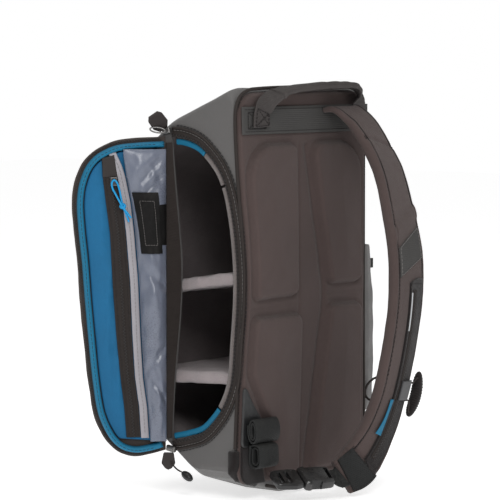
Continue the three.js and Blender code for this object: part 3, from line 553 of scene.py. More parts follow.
def evenly(points, count):
    points = np.asarray(points, float)
    steps = np.r_[0, np.cumsum(np.linalg.norm(np.diff(points, axis=0), axis=1))]
    at = np.linspace(0, steps[-1], count)
    return np.stack([np.interp(at, steps, points[:, k]) for k in range(points.shape[1])], 1)


def roundOutline(corners, steps):
    out = []
    count = len(corners)
    for i, (x, y, radius) in enumerate(corners):
        here = np.array([x, y], float)
        inward = unit(np.array(corners[i - 1][:2], float) - here)
        onward = unit(np.array(corners[(i + 1) % count][:2], float) - here)
        half = math.acos(max(-1, min(1, inward @ onward))) / 2
        reach = radius / math.tan(half)
        centre = here + unit(inward + onward) * radius / math.sin(half)
        start = here + inward * reach - centre
        end = here + onward * reach - centre
        turn = math.atan2(start[0] * end[1] - start[1] * end[0], start @ end)
        for k in range(steps + 1):
            c, s = math.cos(turn * k / steps), math.sin(turn * k / steps)
            out.append(centre + (c * start[0] - s * start[1], s * start[0] + c * start[1]))
    return np.array(out)


def ripple(point, size, seed=0.0):
    return noise.noise(Vector(point) / size + Vector((seed, seed * 1.7, -seed)))


def softShares(length, count, soft):
    # shares from 0 to 1 with extra ones close to both ends, for a rounded edge
    edge = min(0.3, soft / max(length, 1e-6))
    near = np.array([0, edge * 0.12, edge * 0.45])
    return np.r_[near, np.linspace(edge, 1 - edge, count), 1 - near[::-1]]


def slabPiece(name, place, counts, low, high, material, slot, replaced=(), soft=1.0, lift=None):
    # place(p, q, t) gives a point; the two faces lie at t = low and high and meet in round edges
    middle = [np.asarray(place(p, q, high)) for p, q in ((0, 0.5), (1, 0.5), (0.5, 0), (0.5, 1))]
    ps = softShares(np.linalg.norm(middle[1] - middle[0]), counts[0], soft)
    qs = softShares(np.linalg.norm(middle[3] - middle[2]), counts[1], soft)
    half = (high - low) / 2
    points = []
    for face in (-1, 1):
        for j, q in enumerate(qs):
            for i, p in enumerate(ps):
                ends = min(i, len(ps) - 1 - i, j, len(qs) - 1 - j)
                rise = (0.0, 0.55, 0.88, 1.0)[min(ends, 3)]
                extra = lift(p, q) * rise if lift and face > 0 else 0.0
                points.append(place(p, q, low + half + face * half * rise + extra))
    size = len(ps) * len(qs)
    faces = gridFaces(len(qs), len(ps)) + gridFaces(len(qs), len(ps), first=size)
    rim = [(0, i) for i in range(len(ps))] + [(j, len(ps) - 1) for j in range(1, len(qs))]
    rim += [(len(qs) - 1, i) for i in reversed(range(len(ps) - 1))]
    rim += [(j, 0) for j in reversed(range(1, len(qs) - 1))]
    ids = [j * len(ps) + i for j, i in rim]
    for n, a in enumerate(ids):
        b = ids[(n + 1) % len(ids)]
        faces.append((a, b, size + b, size + a))
    return makeMesh(name, points, faces, material, slot, replaced)


def frames(points, sides):
    # across and out of a swept strip at each of its points
    points = np.asarray(points, float)
    along = np.gradient(points, axis=0)
    along /= np.linalg.norm(along, axis=1)[:, None]
    across = np.asarray(sides, float)
    across = across - along * np.sum(across * along, 1)[:, None]
    across /= np.linalg.norm(across, axis=1)[:, None]
    return across, np.cross(along, across)


def tubeRings(points, radius, sides=10, closed=False):
    points = np.asarray(points, float)
    count = len(points)
    rings = []
    side = np.array([0.31, 0.17, 0.93])
    for i in range(count):
        before = points[(i - 1) % count] if closed or i else points[0]
        after = points[(i + 1) % count] if closed or i < count - 1 else points[-1]
        along = unit(after - before)
        side = unit(side - along * (side @ along))
        out = np.cross(along, side)
        size = radius(i / (count - 1)) if callable(radius) else radius
        rings.append(
            [points[i] + size * (math.cos(a) * side + math.sin(a) * out)
             for a in np.linspace(0, 2 * math.pi, sides, endpoint=False)]
        )
    return rings


def tubePiece(name, points, radius, material, slot, replaced=(), sides=10, closed=False):
    shape = loftRings(tubeRings(points, radius, sides, closed), closed)
    return makeMesh(name, *shape, material, slot, replaced)


def joinShapes(shapes):
    points, faces, start = [], [], 0
    for some, others in shapes:
        points.extend(np.asarray(some, float).reshape(-1, 3))
        faces.extend(tuple(start + k for k in face) for face in others)
        start = len(points)
    return points, faces


stitchShapes = {"thread": [], "darkThread": []}


def stitch(points, kind="darkThread", length=2.6, space=1.5, size=0.42):
    # a row of short threads along a line of points
    points = np.asarray(points, float)
    total = np.sum(np.linalg.norm(np.diff(points, axis=0), axis=1))
    count = max(1, int(total / (length + space)))
    dense = evenly(points, count * 4 + 1)
    for n in range(count):
        a, b = dense[n * 4], dense[min(len(dense) - 1, n * 4 + 3)]
        line = [a, a + (b - a) * 0.15, a + (b - a) * 0.85, b]
        rings = tubeRings(line, lambda s: size * (0.45 if s in (0.0, 1.0) else 1.0), 5)
        stitchShapes[kind].append(loftRings(rings))


def pushOut(obj, push):
    # moves each vertex along its normal by push(place), both in millimetres of the part
    data = obj.data
    place = np.empty(len(data.vertices) * 3)
    data.vertices.foreach_get("co", place)
    normal = np.empty(len(data.vertices) * 3)
    data.vertex_normals.foreach_get("vector", normal)
    place = place.reshape(-1, 3)
    real = place * 1000.0 + (0.0, shiftY, 0.0)
    amount = np.array([push(*p) for p in real]) * 0.001
    place += normal.reshape(-1, 3) * amount[:, None]
    data.vertices.foreach_set("co", place.ravel())
    data.update()


def applyModifiers(obj):
    with bpy.context.temp_override(object=obj, active_object=obj, selected_objects=[obj]):
        for modifier in list(obj.modifiers):
            bpy.ops.object.modifier_apply(modifier=modifier.name)


def copyNode(name, node, material, slot):
    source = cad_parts[node]
    obj = bpy.data.objects.new(name, source.data.copy())
    bpy.context.scene.collection.objects.link(obj)
    obj.data.materials.clear()
    obj.data.materials.append(paint[material])
    shape = bmesh.new()
    shape.from_mesh(obj.data)
    bmesh.ops.remove_doubles(shape, verts=shape.verts, dist=1e-5)
    bmesh.ops.recalc_face_normals(shape, faces=shape.faces)
    shape.to_mesh(obj.data)
    shape.free()
    return addPiece(obj, slot, [node])


def softCopy(name, node, material, slot, voxel=2.0, rounds=8, swell=0.0, crease=0.0, seed=1.0):
    # the node's solid remeshed, smoothed and creased a little, as foam under cloth
    obj = copyNode(name, node, material, slot)
    remesh = obj.modifiers.new("remesh", "REMESH")
    remesh.mode = "VOXEL"
    remesh.voxel_size = voxel / 1000.0
    relax = obj.modifiers.new("relax", "SMOOTH")
    relax.factor = 0.6
    relax.iterations = rounds
    applyModifiers(obj)
    if swell or crease:
        pushOut(
            obj,
            lambda *p: swell + crease * (ripple(p, 22.0, seed) + 0.4 * ripple(p, 9.0, seed + 3)),
        )
    obj.data.polygons.foreach_set("use_smooth", [True] * len(obj.data.polygons))
    return obj


def hardCopy(name, node, material, slot, bevel=0.8, segments=3):
    # the node's solid with small round edges, as moulded plastic
    obj = copyNode(name, node, material, slot)
    shape = bmesh.new()
    shape.from_mesh(obj.data)
    bmesh.ops.dissolve_limit(shape, angle_limit=0.03, verts=shape.verts, edges=shape.edges)
    shape.to_mesh(obj.data)
    shape.free()
    edges = obj.modifiers.new("round", "BEVEL")
    edges.width = bevel / 1000.0
    edges.segments = segments
    edges.limit_method = "ANGLE"
    edges.angle_limit = math.radians(28)
    edges.harden_normals = True
    obj.data.polygons.foreach_set("use_smooth", [True] * len(obj.data.polygons))
    applyModifiers(obj)
    return obj


door = {
    "angle": 140.0,
    "hinge": (-103.4, 84.0),
    "tapeFace": 4.3,
    "panel": [  # inward from the outline, height over the inner face
        (40, -7.0), (24, -7.0), (12, -6.9), (6, -6.6), (3, -6.0), (1.2, -5.0), (0.2, -3.6),
        (0, -2.2), (0.3, -1.0), (1.2, -0.2), (2.4, 0.0), (8, 0.0), (20, 0.0), (40, 0.0),
    ],
    "rim": [
        (4.5, 0.3), (4.4, 4.0), (4.7, 7.0), (5.6, 8.6), (7.2, 9.2),
        (9.0, 8.6), (10.0, 7.0), (10.4, 4.0), (10.4, 0.3),
    ],
    "rimSeam": (7.0, 9.1),
    "teeth": (2.2, 0.1),
    "points": [
        (2, 354), (32, 352.5), (52, 350), (65, 345), (76, 338), (85, 327), (92, 309), (94.5, 290),
        (93, 262), (90, 233), (87, 193), (83.5, 153), (79.5, 113), (74.5, 82), (68, 65), (60, 52),
        (49, 42.6), (34, 38.4), (18, 40), (2, 44),
    ],
    "strip": [
        (336, 66, 54), (315, 65, 51), (290, 62, 46), (260, 58, 42.5), (210, 55.5, 38.5),
        (158, 52, 36.5), (117, 48, 34), (88, 44.5, 30), (55, 42, 28),
    ],
}


def onDoor(a, b, t):
    turn = math.radians(door["angle"])
    return np.array([
        door["hinge"][0] + a * math.cos(turn) - t * math.sin(turn),
        door["hinge"][1] + a * math.sin(turn) + t * math.cos(turn),
        b,
    ])


pullCord = {
    "diameter": 1.9,
    "over": 5.0,  # how far the cord's line lies over the zip tape
    "knotAt": (46.2, 286.5, 7.6),
    "knotTurns": (0.0, 1.1, 2.2),
    "knotSize": (2.5, 2.2),
    "points": [
        (38, 275, 2.6), (42, 280, 3.4), (46.4, 286, 4.2), (52, 296, 2.4), (56.4, 305, 1.5),
        (56.6, 309.5, 1.4), (54.6, 312, 1.4), (52, 310, 1.4), (49.4, 303, 1.4), (47.6, 294, 1.4),
        (45.8, 286, 1.5), (42.6, 278, 1.4), (40, 271, 1.4),
    ],
}
pullOver = door["tapeFace"] + pullCord["over"]
pullPath = spline([onDoor(a, b, pullOver + t) for a, b, t in pullCord["points"]], 90)
pullPiece = tubePiece(
    "pullCord", pullPath, pullCord["diameter"] / 2, "blueCord", "blue_cord", ["blue_pull_cord"]
)
knotA, knotB, knotOver = pullCord["knotAt"]
knotCentre = onDoor(knotA, knotB, door["tapeFace"] + knotOver)
knotRings = []
for turn in pullCord["knotTurns"]:
    loop = []
    for angle in np.linspace(0, 2 * math.pi, 20, endpoint=False):
        a, b = pullCord["knotSize"] * np.array([math.cos(angle), math.sin(angle)])
        loop.append(
            knotCentre + onDoor(a * math.cos(turn), b, a * math.sin(turn)) - onDoor(0, 0, 0)
        )
    knotRings.append(loftRings(tubeRings(loop, pullCord["diameter"] / 2, 7, True), True))
knot = makeMesh("pullKnot", *joinShapes(knotRings), "blueCord", "blue_cord")
tuple(toFrame(pullPath[0])[0])
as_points(toFrame(pullPath))


body = {
    "half": 101.0,
    "endRound": 18.0,
    "bow": (15.0, 215.0, 92.0),  # depth of the left wall's sag, its height, its reach
    "corners": [  # y, z, radius, share drawn in at the ends
        (0, 0, 12, 0), (66, 0, 24, 0), (155, 64, 30, 0.9),
        (155, 318, 30, 0.5), (88, 371, 70, 0.5), (0, 408, 11, 0.12),
    ],
    "shares": (-1, -0.97, -0.88, -0.2, 0.6, 0.88, 0.97, 1),
    "lift": (28.2, 26.2, 19.2, 0, 0, 3.2, 8.3, 17.9),
    "rise": (30.1, 28.2, 23, 3.8, 0, 5.1, 12.8, 26.9),
    "fill": (8, 14, 30, 10, 12, 50),
    "cornerSteps": 8,
    "wallCentre": (50.0, 205.0),
    "capCentre": (70.0, 195.0),
    "lipDepths": (5.0, 2.2),
    "crease": 0.9,
    "openingFront": 84.0,
}
openingBend = [
    (84, 353), (66, 352), (47, 346), (33, 335), (21, 320), (14, 301), (10.5, 275),
    (9, 235), (8.5, 200), (8, 160), (8, 114), (17, 90), (28, 76), (41, 65), (60, 58.5), (84, 53),
]


def bowAt(z):
    depth, height, reach = body["bow"]
    return depth * np.exp(-(((z - height) / reach) ** 2))


def bowed(x, y, z):
    return np.array([x + (bowAt(z) * min(1.0, (x / body["half"]) ** 2) if x < 0 else 0.0), y, z])


def bodyRing(share):
    # the body's outline at a share of its half width, drawn in towards the ends
    far = max(0.0, (abs(share) - 0.75) / 0.25)
    inset = (1 - math.sqrt(max(0.0, 1 - far * far))) * body["endRound"]
    lift = np.interp(share, body["shares"], body["lift"])
    rise = np.interp(share, body["shares"], body["rise"])
    corners = body["corners"]
    sides = []
    for i, (y, z, radius, drawn) in enumerate(corners):
        nextY, nextZ = corners[(i + 1) % len(corners)][:2]
        length = math.hypot(nextY - y, nextZ - z)
        normal = np.array([(nextZ - z) / length, -(nextY - y) / length])
        moved = -(lift, rise)[i] if i < 2 else -inset * drawn
        sides.append((normal, normal @ (y, z) + moved, radius))
    rounds = []
    for i, (normal, offset, radius) in enumerate(sides):
        other, otherOffset = sides[i - 1][:2]
        y, z = np.linalg.solve(np.array([other, normal]), np.array([otherOffset, offset]))
        rounds.append((y, z, max(2.0, radius)))
    steps = body["cornerSteps"]
    outline = roundOutline(rounds, steps)
    ring = []
    for i, point in enumerate(outline):
        # the straight run after each corner is filled with extra points
        after = outline[(i + 1) % len(outline)]
        corner, step = divmod(i, steps + 1)
        parts = body["fill"][corner] if step == steps else 1
        ring.extend(point + (after - point) * k / parts for k in range(parts))
    return np.array(ring)


openingLine = evenly(spline([(y, z, 0) for y, z in openingBend], 240)[:, :2], 220)
openingLoop = np.vstack(
    [openingLine, [(body["openingFront"], z) for z in np.linspace(53, 353, 90)[1:-1]]]
)


def rayHits(centre, directions, outline):
    # distance from the centre to a closed outline along each direction
    a = outline - centre
    b = np.roll(outline, -1, 0) - centre
    out = []
    for d in directions:
        crossA = d[0] * a[:, 1] - d[1] * a[:, 0]
        crossB = d[0] * b[:, 1] - d[1] * b[:, 0]
        hit = np.where((crossA <= 0) & (crossB > 0))[0]
        hit = hit if len(hit) else np.where((crossA >= 0) & (crossB < 0))[0]
        best = 0.0
        for k in hit:
            share = crossA[k] / (crossA[k] - crossB[k])
            point = a[k] + (b[k] - a[k]) * share
            best = max(best, point @ d)
        out.append(best)
    return np.array(out)


def makeBody():
    rings = []
    shares = np.sin(np.linspace(-1, 1, 61) * math.pi / 2)
    for share in shares:
        ring = bodyRing(share)
        rings.append(np.array([bowed(share * body["half"], y, z) for y, z in ring]))
    left = bodyRing(-1.0)
    centre = np.array(body["wallCentre"])
    toRing = left - centre
    far = np.linalg.norm(toRing, axis=1)
    directions = toRing / far[:, None]
    near = rayHits(centre, directions, openingLoop)
    wall = []
    for share in np.linspace(1, 0, 13)[:-1] ** 0.9:
        ring = centre + directions * (near + (far - near) * (1 - share))[:, None]
        wall.append(np.array([bowed(-body["half"], y, z) for y, z in ring]))
    hole = centre + directions * near[:, None]
    lip = []
    for depth in body["lipDepths"]:
        lip.append(np.array([bowed(-body["half"], y, z) + (depth, 0, 0) for y, z in hole]))
    right = bodyRing(1.0)
    middle = np.array(body["capCentre"])
    capRings = []
    for share in (0.93, 0.82, 0.68, 0.54, 0.4, 0.26, 0.12, 0.03):
        capRings.append(np.array([(body["half"], *(middle + (p - middle) * share)) for p in right]))
    points, faces = loftRings(lip + wall + rings + capRings, caps=False)
    last = len(points) - len(right)
    faces.append(tuple(last + j for j in range(len(right))))
    skin = makeMesh(
        "bodyShell", points, faces, "shellCloth", "shell_cloth",
        ["shell_left", "shell_band", "shell_right"],
    )

    def swell(x, y, z):
        # foam under cloth: broad swells, sharper creases by the top bend and the foot
        free = min(1.0, max(0.0, z / 30.0)) * (0.2 if y < 4 else 1.0)
        nearHole = 1.0 if x > -92 else 0.45
        broad = ripple((x, y, z), 70.0, 4.0) * 1.1 + ripple((x, y, z), 26.0, 9.0) * 0.5
        pleat = math.sin((x * 0.5 + y + z * 0.35) / 13.0 + 2.2 * ripple((x, y, z), 45.0, 2.0))
        pleat *= 0.35 * max(0.0, 1 - abs(z - 360) / 60.0)
        return body["crease"] * free * nearHole * (broad + pleat) - 0.25

    pushOut(skin, swell)
    return skin


makeBody()
# the inner lining takes the darkened fleece grey, painted shade
for end in ("left", "band", "right"):
    softCopy("innerLining_" + end, "liner_" + end, "lining", "lining", voxel=2.0, rounds=3)
print("body made")


def besideOpening(offset, depth, count=260):
    # a line that follows the opening, offset out of it and raised out of the wall by depth
    line = evenly(openingLine, count)
    along = np.gradient(line, axis=0)
    along /= np.linalg.norm(along, axis=1)[:, None]
    out = np.stack([along[:, 1], -along[:, 0]], 1)
    if out[count // 2][0] > 0:
        out = -out
    line = line + out * offset
    return np.array([bowed(-body["half"], y, z) + (-depth, 0, 0) for y, z in line])


def ribbonAlong(name, section, material, slot, replaced=(), low=0.0, high=1.0, count=260):
    # section: a closed list of (offset out of the opening, height out of the wall)
    lines = [besideOpening(offset, depth, count) for offset, depth in section]
    keep = range(int(low * (count - 1)), int(high * (count - 1)) + 1)
    rings = [[line[i] for line in lines] for i in keep]
    return makeMesh(name, *loftRings(rings), material, slot, replaced)


openingZip = {
    "tape": [(0.2, 0.3), (0.2, 1.2), (0.8, 1.7), (5.6, 1.5), (6.2, 1.0), (9.0, 0.9), (9.2, 0.3)],
    "piping": (9.6, 1.3, 1.35),  # offset, height and radius
    "teeth": (1.9, 1.5),  # offset and height
    "toothSize": (1.9, 2.0, 1.1),  # pitch, width and height
    "innerSeam": (7.4, 1.6),
    "outerSeam": (12.2, 0.5),
}
ribbonAlong(
    "openingTape", openingZip["tape"], "zipCloth", "zip_cloth", ["opening_zip_tape"], 0.01, 0.99
)
pipeOffset, pipeHeight, pipeRadius = openingZip["piping"]
tubePiece(
    "openingPiping", besideOpening(pipeOffset, pipeHeight)[3:-3], pipeRadius, "zipCloth", "zip_cloth"
)


def zipTeeth(name, line, across, out, pitch, width, high):
    # two rows of small moulded teeth that mesh along a line
    line = np.asarray(line, float)
    total = np.sum(np.linalg.norm(np.diff(line, axis=0), axis=1))
    count = int(total / pitch)
    dense = evenly(np.hstack([line, across, out]), count)
    shapes = []
    for n in range(count):
        centre, side, up = dense[n][:3], unit(dense[n][3:6]), unit(dense[n][6:9])
        along = unit(np.cross(side, up))
        centre = centre + side * (0.35 if n % 2 else -0.35) * width
        corners = []
        for a, b, c in [(-1, -1, 0), (1, -1, 0), (1, 1, 0), (-1, 1, 0),
                        (-0.7, -0.7, 1), (0.7, -0.7, 1), (0.7, 0.7, 1), (-0.7, 0.7, 1)]:
            corners.append(
                centre + along * a * pitch * 0.4 + side * b * width / 2 + up * c * high
            )
        faces = [(0, 1, 2, 3), (4, 5, 6, 7), (0, 1, 5, 4), (1, 2, 6, 5), (2, 3, 7, 6), (3, 0, 4, 7)]
        shapes.append((corners, faces))
    return makeMesh(name, *joinShapes(shapes), "teeth", "zip_cloth", smooth=False)


toothOffset, toothHeight = openingZip["teeth"]
toothLine = besideOpening(toothOffset, toothHeight)[3:-3]
toothAcross = besideOpening(3.0, toothHeight)[3:-3] - toothLine
toothOut = np.tile([-1.0, 0.0, 0.0], (len(toothLine), 1))
zipTeeth("openingTeeth", toothLine, toothAcross, toothOut, *openingZip["toothSize"])
stitch(besideOpening(*openingZip["innerSeam"])[4:-4], "thread", 2.4, 1.6, 0.3)
stitch(besideOpening(*openingZip["outerSeam"])[6:-6], "darkThread", 2.8, 1.5, 0.4)

lipSection = [
    (-0.9 - 3.0 * (1 - math.cos(a)), -1.7 + 1.7 * math.sin(a))
    for a in np.linspace(0, 2 * math.pi, 14, endpoint=False)
]
ribbonAlong("lipTop", lipSection, "blueRim", "blue_cloth", ["facing_top"], 0.02, 0.125)
# the lip's fleece is the divider fleece darkened as painted shade
ribbonAlong("lipCorner", lipSection, "lipFleece", "fleece", (), 0.13, 0.225)
ribbonAlong("lipSide", lipSection, "lipFleece", "fleece", ["fleece_lip"], 0.235, 0.80)
ribbonAlong("lipFoot", lipSection, "blueRim", "blue_cloth", ["facing_bottom"], 0.81, 0.985)

dividers = {"dividerUpper": ("divider_upper", 3.0), "dividerLower": ("divider_lower", 6.0)}
for name, (node, seed) in dividers.items():
    divider = softCopy(name, node, "fleece", "fleece", voxel=2.5, rounds=6, crease=1.3, seed=seed)
print("opening dressed")


doorBase = evenly(spline([(a, b, 0) for a, b in door["points"]], 200)[:, :2], 150)
doorAlong = np.gradient(doorBase, axis=0)
doorAlong /= np.linalg.norm(doorAlong, axis=1)[:, None]
doorOut = np.stack([-doorAlong[:, 1], doorAlong[:, 0]], 1)
doorOut *= math.copysign(1.0, doorOut[75][0])


def doorLine(shrink):
    line = doorBase - doorOut * shrink
    line[0] = (2 + shrink, door["points"][0][1] - shrink)
    line[-1] = (2 + shrink, door["points"][-1][1] + shrink)
    return line


def doorSpan(z, shrink):
    # how far from the hinge the door's outline reaches at a height
    line = doorLine(shrink)
    turn = int(np.argmax(line[:, 0]))
    top, foot = line[: turn + 1], line[turn:]
    if z > line[turn][1]:
        return float(np.interp(z, top[::-1, 1], top[::-1, 0]))
    return float(np.interp(z, foot[::-1, 1], foot[::-1, 0]))


def stripAt(z):
    rows = door["strip"][::-1]
    heights = [r[0] for r in rows]
    return np.interp(z, heights, [r[1] for r in rows]), np.interp(z, heights, [r[2] for r in rows])


def makeDoor():
    rings = [[onDoor(a, b, t) for a, b in doorLine(shrink)] for shrink, t in door["panel"]]
    panel = makeMesh("doorPanel", *loftRings(rings), "doorEdge", "shell_cloth", ["door_panel"])
    pushOut(panel, lambda *p: 0.6 * ripple(p, 30.0, 5.0) + 0.3 * ripple(p, 12.0, 8.0))
    rimLines = [(doorLine(shrink), t) for shrink, t in door["rim"]]
    rimRings = [[onDoor(*line[i], t) for line, t in rimLines] for i in range(len(doorBase))]
    makeMesh("doorRim", *loftRings(rimRings), "blueRim", "blue_cloth", ["door_rim"])
    seam, high = door["rimSeam"]
    stitch([onDoor(a, b, high) for a, b in doorLine(seam)[4:-4]], "darkThread", 2.4, 1.6, 0.28)
    edge, high = door["teeth"]
    line = np.array([onDoor(a, b, high) for a, b in doorLine(edge)[2:-2]])
    across = np.gradient(line, axis=0)
    out = np.tile(onDoor(0, 0, 1) - onDoor(0, 0, 0), (len(line), 1))
    zipTeeth("doorTeeth", line, np.cross(across, out), out, 1.4, 1.5, 0.7)


makeDoor()

doorCloth = {"low": 52.5, "high": 341.0, "near": 13.5, "puff": 2.0}


def onCloth(p, q, t):
    z = doorCloth["low"] + (doorCloth["high"] - doorCloth["low"]) * q
    far = doorSpan(z, 11.6)
    a = doorCloth["near"] + (max(far, doorCloth["near"] + 2) - doorCloth["near"]) * p
    edge = min(1.0, 4 * (1 - p), 8 * q, 8 * (1 - q))
    crease = ripple((a * 2.2, 0, z * 0.35), 14.0, 7.0)
    crease += 0.6 * ripple((a, 0, z * 1.6), 13.0, 2.0)
    return onDoor(a, z, t + (doorCloth["puff"] * crease * edge if t > 1 else 0))


slabPiece(
    "doorLining", onCloth, (34, 110), 0.4, 3.4, "blueCloth", "blue_cloth", ["door_lining"], 2.0
)


def onStrip(low, high, swell=0.0):
    def place(p, q, t):
        z = low + (high - low) * q
        far, near = stripAt(z)
        wave = swell * ripple((0, 0, z), 17.0, 3.0)
        return onDoor(near + (far - near) * p, z, t + wave)
    return place


tapeFace = door["tapeFace"]
pocketZip = {"low": 58, "high": 315.4, "coil": 1.3, "coilShare": 0.13, "teeth": (1.5, 1.4, 0.6)}
slabPiece(
    "pocketZip", onStrip(pocketZip["low"], pocketZip["high"], 0.25), (12, 120), tapeFace,
    tapeFace + 1.2, "zipCloth", "zip_cloth", ["door_zip"], 0.8,
    lift=lambda p, q: pocketZip["coil"] * math.exp(-(((p - 0.5) / pocketZip["coilShare"]) ** 2)),
)


def coilLine(share):
    place = onStrip(pocketZip["low"], pocketZip["high"])
    return np.array([place(share, q, tapeFace + 2.3) for q in np.linspace(0.005, 0.995, 160)])


coilOut = np.tile(onDoor(0, 0, 1) - onDoor(0, 0, 0), (160, 1))
zipTeeth("pocketTeeth", coilLine(0.5), coilLine(0.7) - coilLine(0.5), coilOut, *pocketZip["teeth"])
for share in (0.16, 0.84):
    seam = [onStrip(60, 314)(share, q, tapeFace + 1.5) for q in np.linspace(0, 1, 80)]
    stitch(seam, "darkThread", 2.2, 1.4, 0.26)
garage = {"low": 314.5, "high": 336.5, "slant": 3.0, "wide": 1.04}


def onGarage(p, q, t):
    place = onStrip(garage["low"], garage["high"] - garage["slant"] * p)
    return place(garage["wide"] * p - 0.03, q, t)


slabPiece(
    "zipGarage", onGarage,
    (10, 12), tapeFace, tapeFace + 2.6, "rubber", "rubber", ["zip_garage"], 1.2,
)

bindingLook = {
    "low": 57.0, "high": 339.0, "wide": 8.0,
    "hook": 5.5, "hookFrom": 312.0, "hookRun": 25.0,  # the top end bends over the garage
}


def onBinding(p, q, t):
    z = bindingLook["low"] + (bindingLook["high"] - bindingLook["low"]) * q
    bent = max(0.0, (z - bindingLook["hookFrom"]) / bindingLook["hookRun"])
    hook = bindingLook["hook"] * bent**1.8
    near = stripAt(z)[1] - 0.4 + hook
    wave = 0.5 * ripple((p * 3, 0, z), 21.0, 6.0)
    return onDoor(near - bindingLook["wide"] * (1 - p), z, t + wave * (t > tapeFace + 0.5))


slabPiece(
    "pocketBinding", onBinding, (8, 110), tapeFace, tapeFace + 1.9, "binding", "binding",
    ["pocket_binding"], 1.4,
)
seam = [onBinding(0.5, q, tapeFace + 2.1) for q in np.linspace(0.02, 0.98, 90)]
stitch(seam, "thread", 2.2, 1.5, 0.24)

film = {
    "low": 54.0, "high": 342.0, "bulge": 11.0, "rim": 9.3, "dents": 2.6, "pleat": 3.0,
    "pleats": ((338, 0.9), (318, 0.7), (206, -0.5), (150, 0.6), (92, -0.8)),  # start and slope
}


def onFilm(p, z, t):
    near = stripAt(z)[1] - bindingLook["wide"] - 0.8
    share = (z - film["low"]) / (film["high"] - film["low"])
    lengthwise = math.sin(math.pi * min(1, max(0, share))) ** 0.35
    swing = 1 + 0.12 * math.sin(share * 17)
    height = film["bulge"] * lengthwise * swing * math.sin(math.pi * min(1, max(0, p))) ** 0.6
    dent = ripple((p * 34 + z * 0.35, 0, z * 0.55), 17.0, 11.0)
    dent += 0.35 * ripple((p * 60, 0, z), 10.0, 5.0)
    dent *= film["dents"]
    for start, slope in film["pleats"]:
        off = (z - start + slope * 46 * p) / (3.2 + 5.0 * p)
        dent -= film["pleat"] * math.exp(-(off**2)) * (1 - 0.5 * p)
    dent *= min(1.0, height / 5.0)
    return onDoor(3 + (near - 3) * p, z, film["rim"] + height + dent + t)


filmPiece = slabPiece(
    "pocketFilm", lambda p, q, t: onFilm(p, film["low"] + (film["high"] - film["low"]) * q, t),
    (34, 130), 0.0, 0.9, "film", "pocket_film", ["pocket_sheet"], 0.6,
)
labelLook = {
    "low": 240.0, "high": 300.0, "tab": (248.0, 288.0, 0.24),
    "left": (0.16, 0.1), "right": (0.88, 0.08),  # share of the film at the low end, and its growth
    "frame": ((0.22, 0.14), (0.78, 0.14), (0.78, 0.86), (0.22, 0.86), (0.22, 0.14)),
}


def onLabel(p, q, t):
    left, right = (near + growth * q for near, growth in (labelLook["left"], labelLook["right"]))
    z = labelLook["low"] + (labelLook["high"] - labelLook["low"]) * q
    return onFilm(left + (right - left) * p, z, t)


slabPiece("blankLabel", onLabel, (20, 40), 1.9, 2.9, "label", "label_cloth", ["label_patch"], 0.6)
framePoints = []
for (p0, q0), (p1, q1) in zip(labelLook["frame"], labelLook["frame"][1:]):
    for k in range(14):
        framePoints.append(onLabel(p0 + (p1 - p0) * k / 14, q0 + (q1 - q0) * k / 14, 3.0))
stitch([*framePoints, framePoints[0]], "thread", 2.0, 0.5, 0.2)
tabLow, tabHigh, tabShare = labelLook["tab"]
slabPiece(
    "labelTab", lambda p, q, t: onFilm(tabShare * p, tabLow + (tabHigh - tabLow) * q, t), (6, 14),
    0.9, 1.7, "label", "label_cloth", (), 0.5,
)
slabPiece(
    "pocketSlider", lambda p, q, t: onDoor(51 + 7 * p, 306 + 9 * q, t), (6, 8), tapeFace + 2.8,
    tapeFace + 5, "metal", "slider_metal", ["pocket_slider"], 1.2,
)
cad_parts["door_hinge_cloth"].data.materials.clear()
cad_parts["door_hinge_cloth"].data.materials.append(paint["zipCloth"])
print("door dressed")


panel = {
    "low": 15.0, "high": 398.0, "left": -98.0, "right": 98.0,
    "base": 4.6, "pod": 8.8, "edge": 6.0, "step": 1.7, "crease": 1.1,
    "border": [(-98, 15, 12), (98, 15, 14), (99.4, 398, 24), (-99.4, 398, 24)],
    "widen": 1.4,  # how much wider the top is on each side
    "footRadius": 14, "topRadius": 24,
    "grooves": [
        ((-8, 24), (-9, 345), 0.9, 1.6),
        ((-93, 187), (-6, 189), 0.9, 1.6),
        ((36, 195), (93, 196), 0.9, 1.6),
        ((3.5, 343), (31, 208), 3.2, 3.4),
        ((31, 208), (31, 184), 3.0, 3.4),
        ((31, 184), (1.5, 24), 3.2, 3.4),
    ],
    "pods": [
        [(-91, 347, 36), (-17, 347, 9), (-14, 198, 8), (-90, 196, 8)],
        [(8, 347, 12), (85, 347, 34), (87, 206, 8), (37, 206, 9)],
        [(-90, 178, 8), (-8, 178, 8), (-14, 22, 8), (-58, 22, 8), (-58, 74, 20), (-90, 124, 10)],
        [(37, 184, 9), (87, 184, 8), (86, 22, 10), (6, 22, 9)],
    ],
}


def insideBy(points, outline):
    # how far each point lies inside a closed outline, negative outside
    a = outline
    b = np.roll(outline, -1, 0)
    d = b - a
    best = np.full(len(points), 1e9)
    inside = np.zeros(len(points), bool)
    for k in range(len(a)):
        rel = points - a[k]
        share = np.clip(rel @ d[k] / max(1e-9, d[k] @ d[k]), 0, 1)
        best = np.minimum(best, np.linalg.norm(rel - share[:, None] * d[k], axis=1))
        crosses = (a[k][1] > points[:, 1]) != (b[k][1] > points[:, 1])
        at = a[k][0] + (points[:, 1] - a[k][1]) * d[k][0] / (d[k][1] if d[k][1] else 1e-9)
        inside ^= crosses & (points[:, 0] < at)
    return np.where(inside, best, -best)


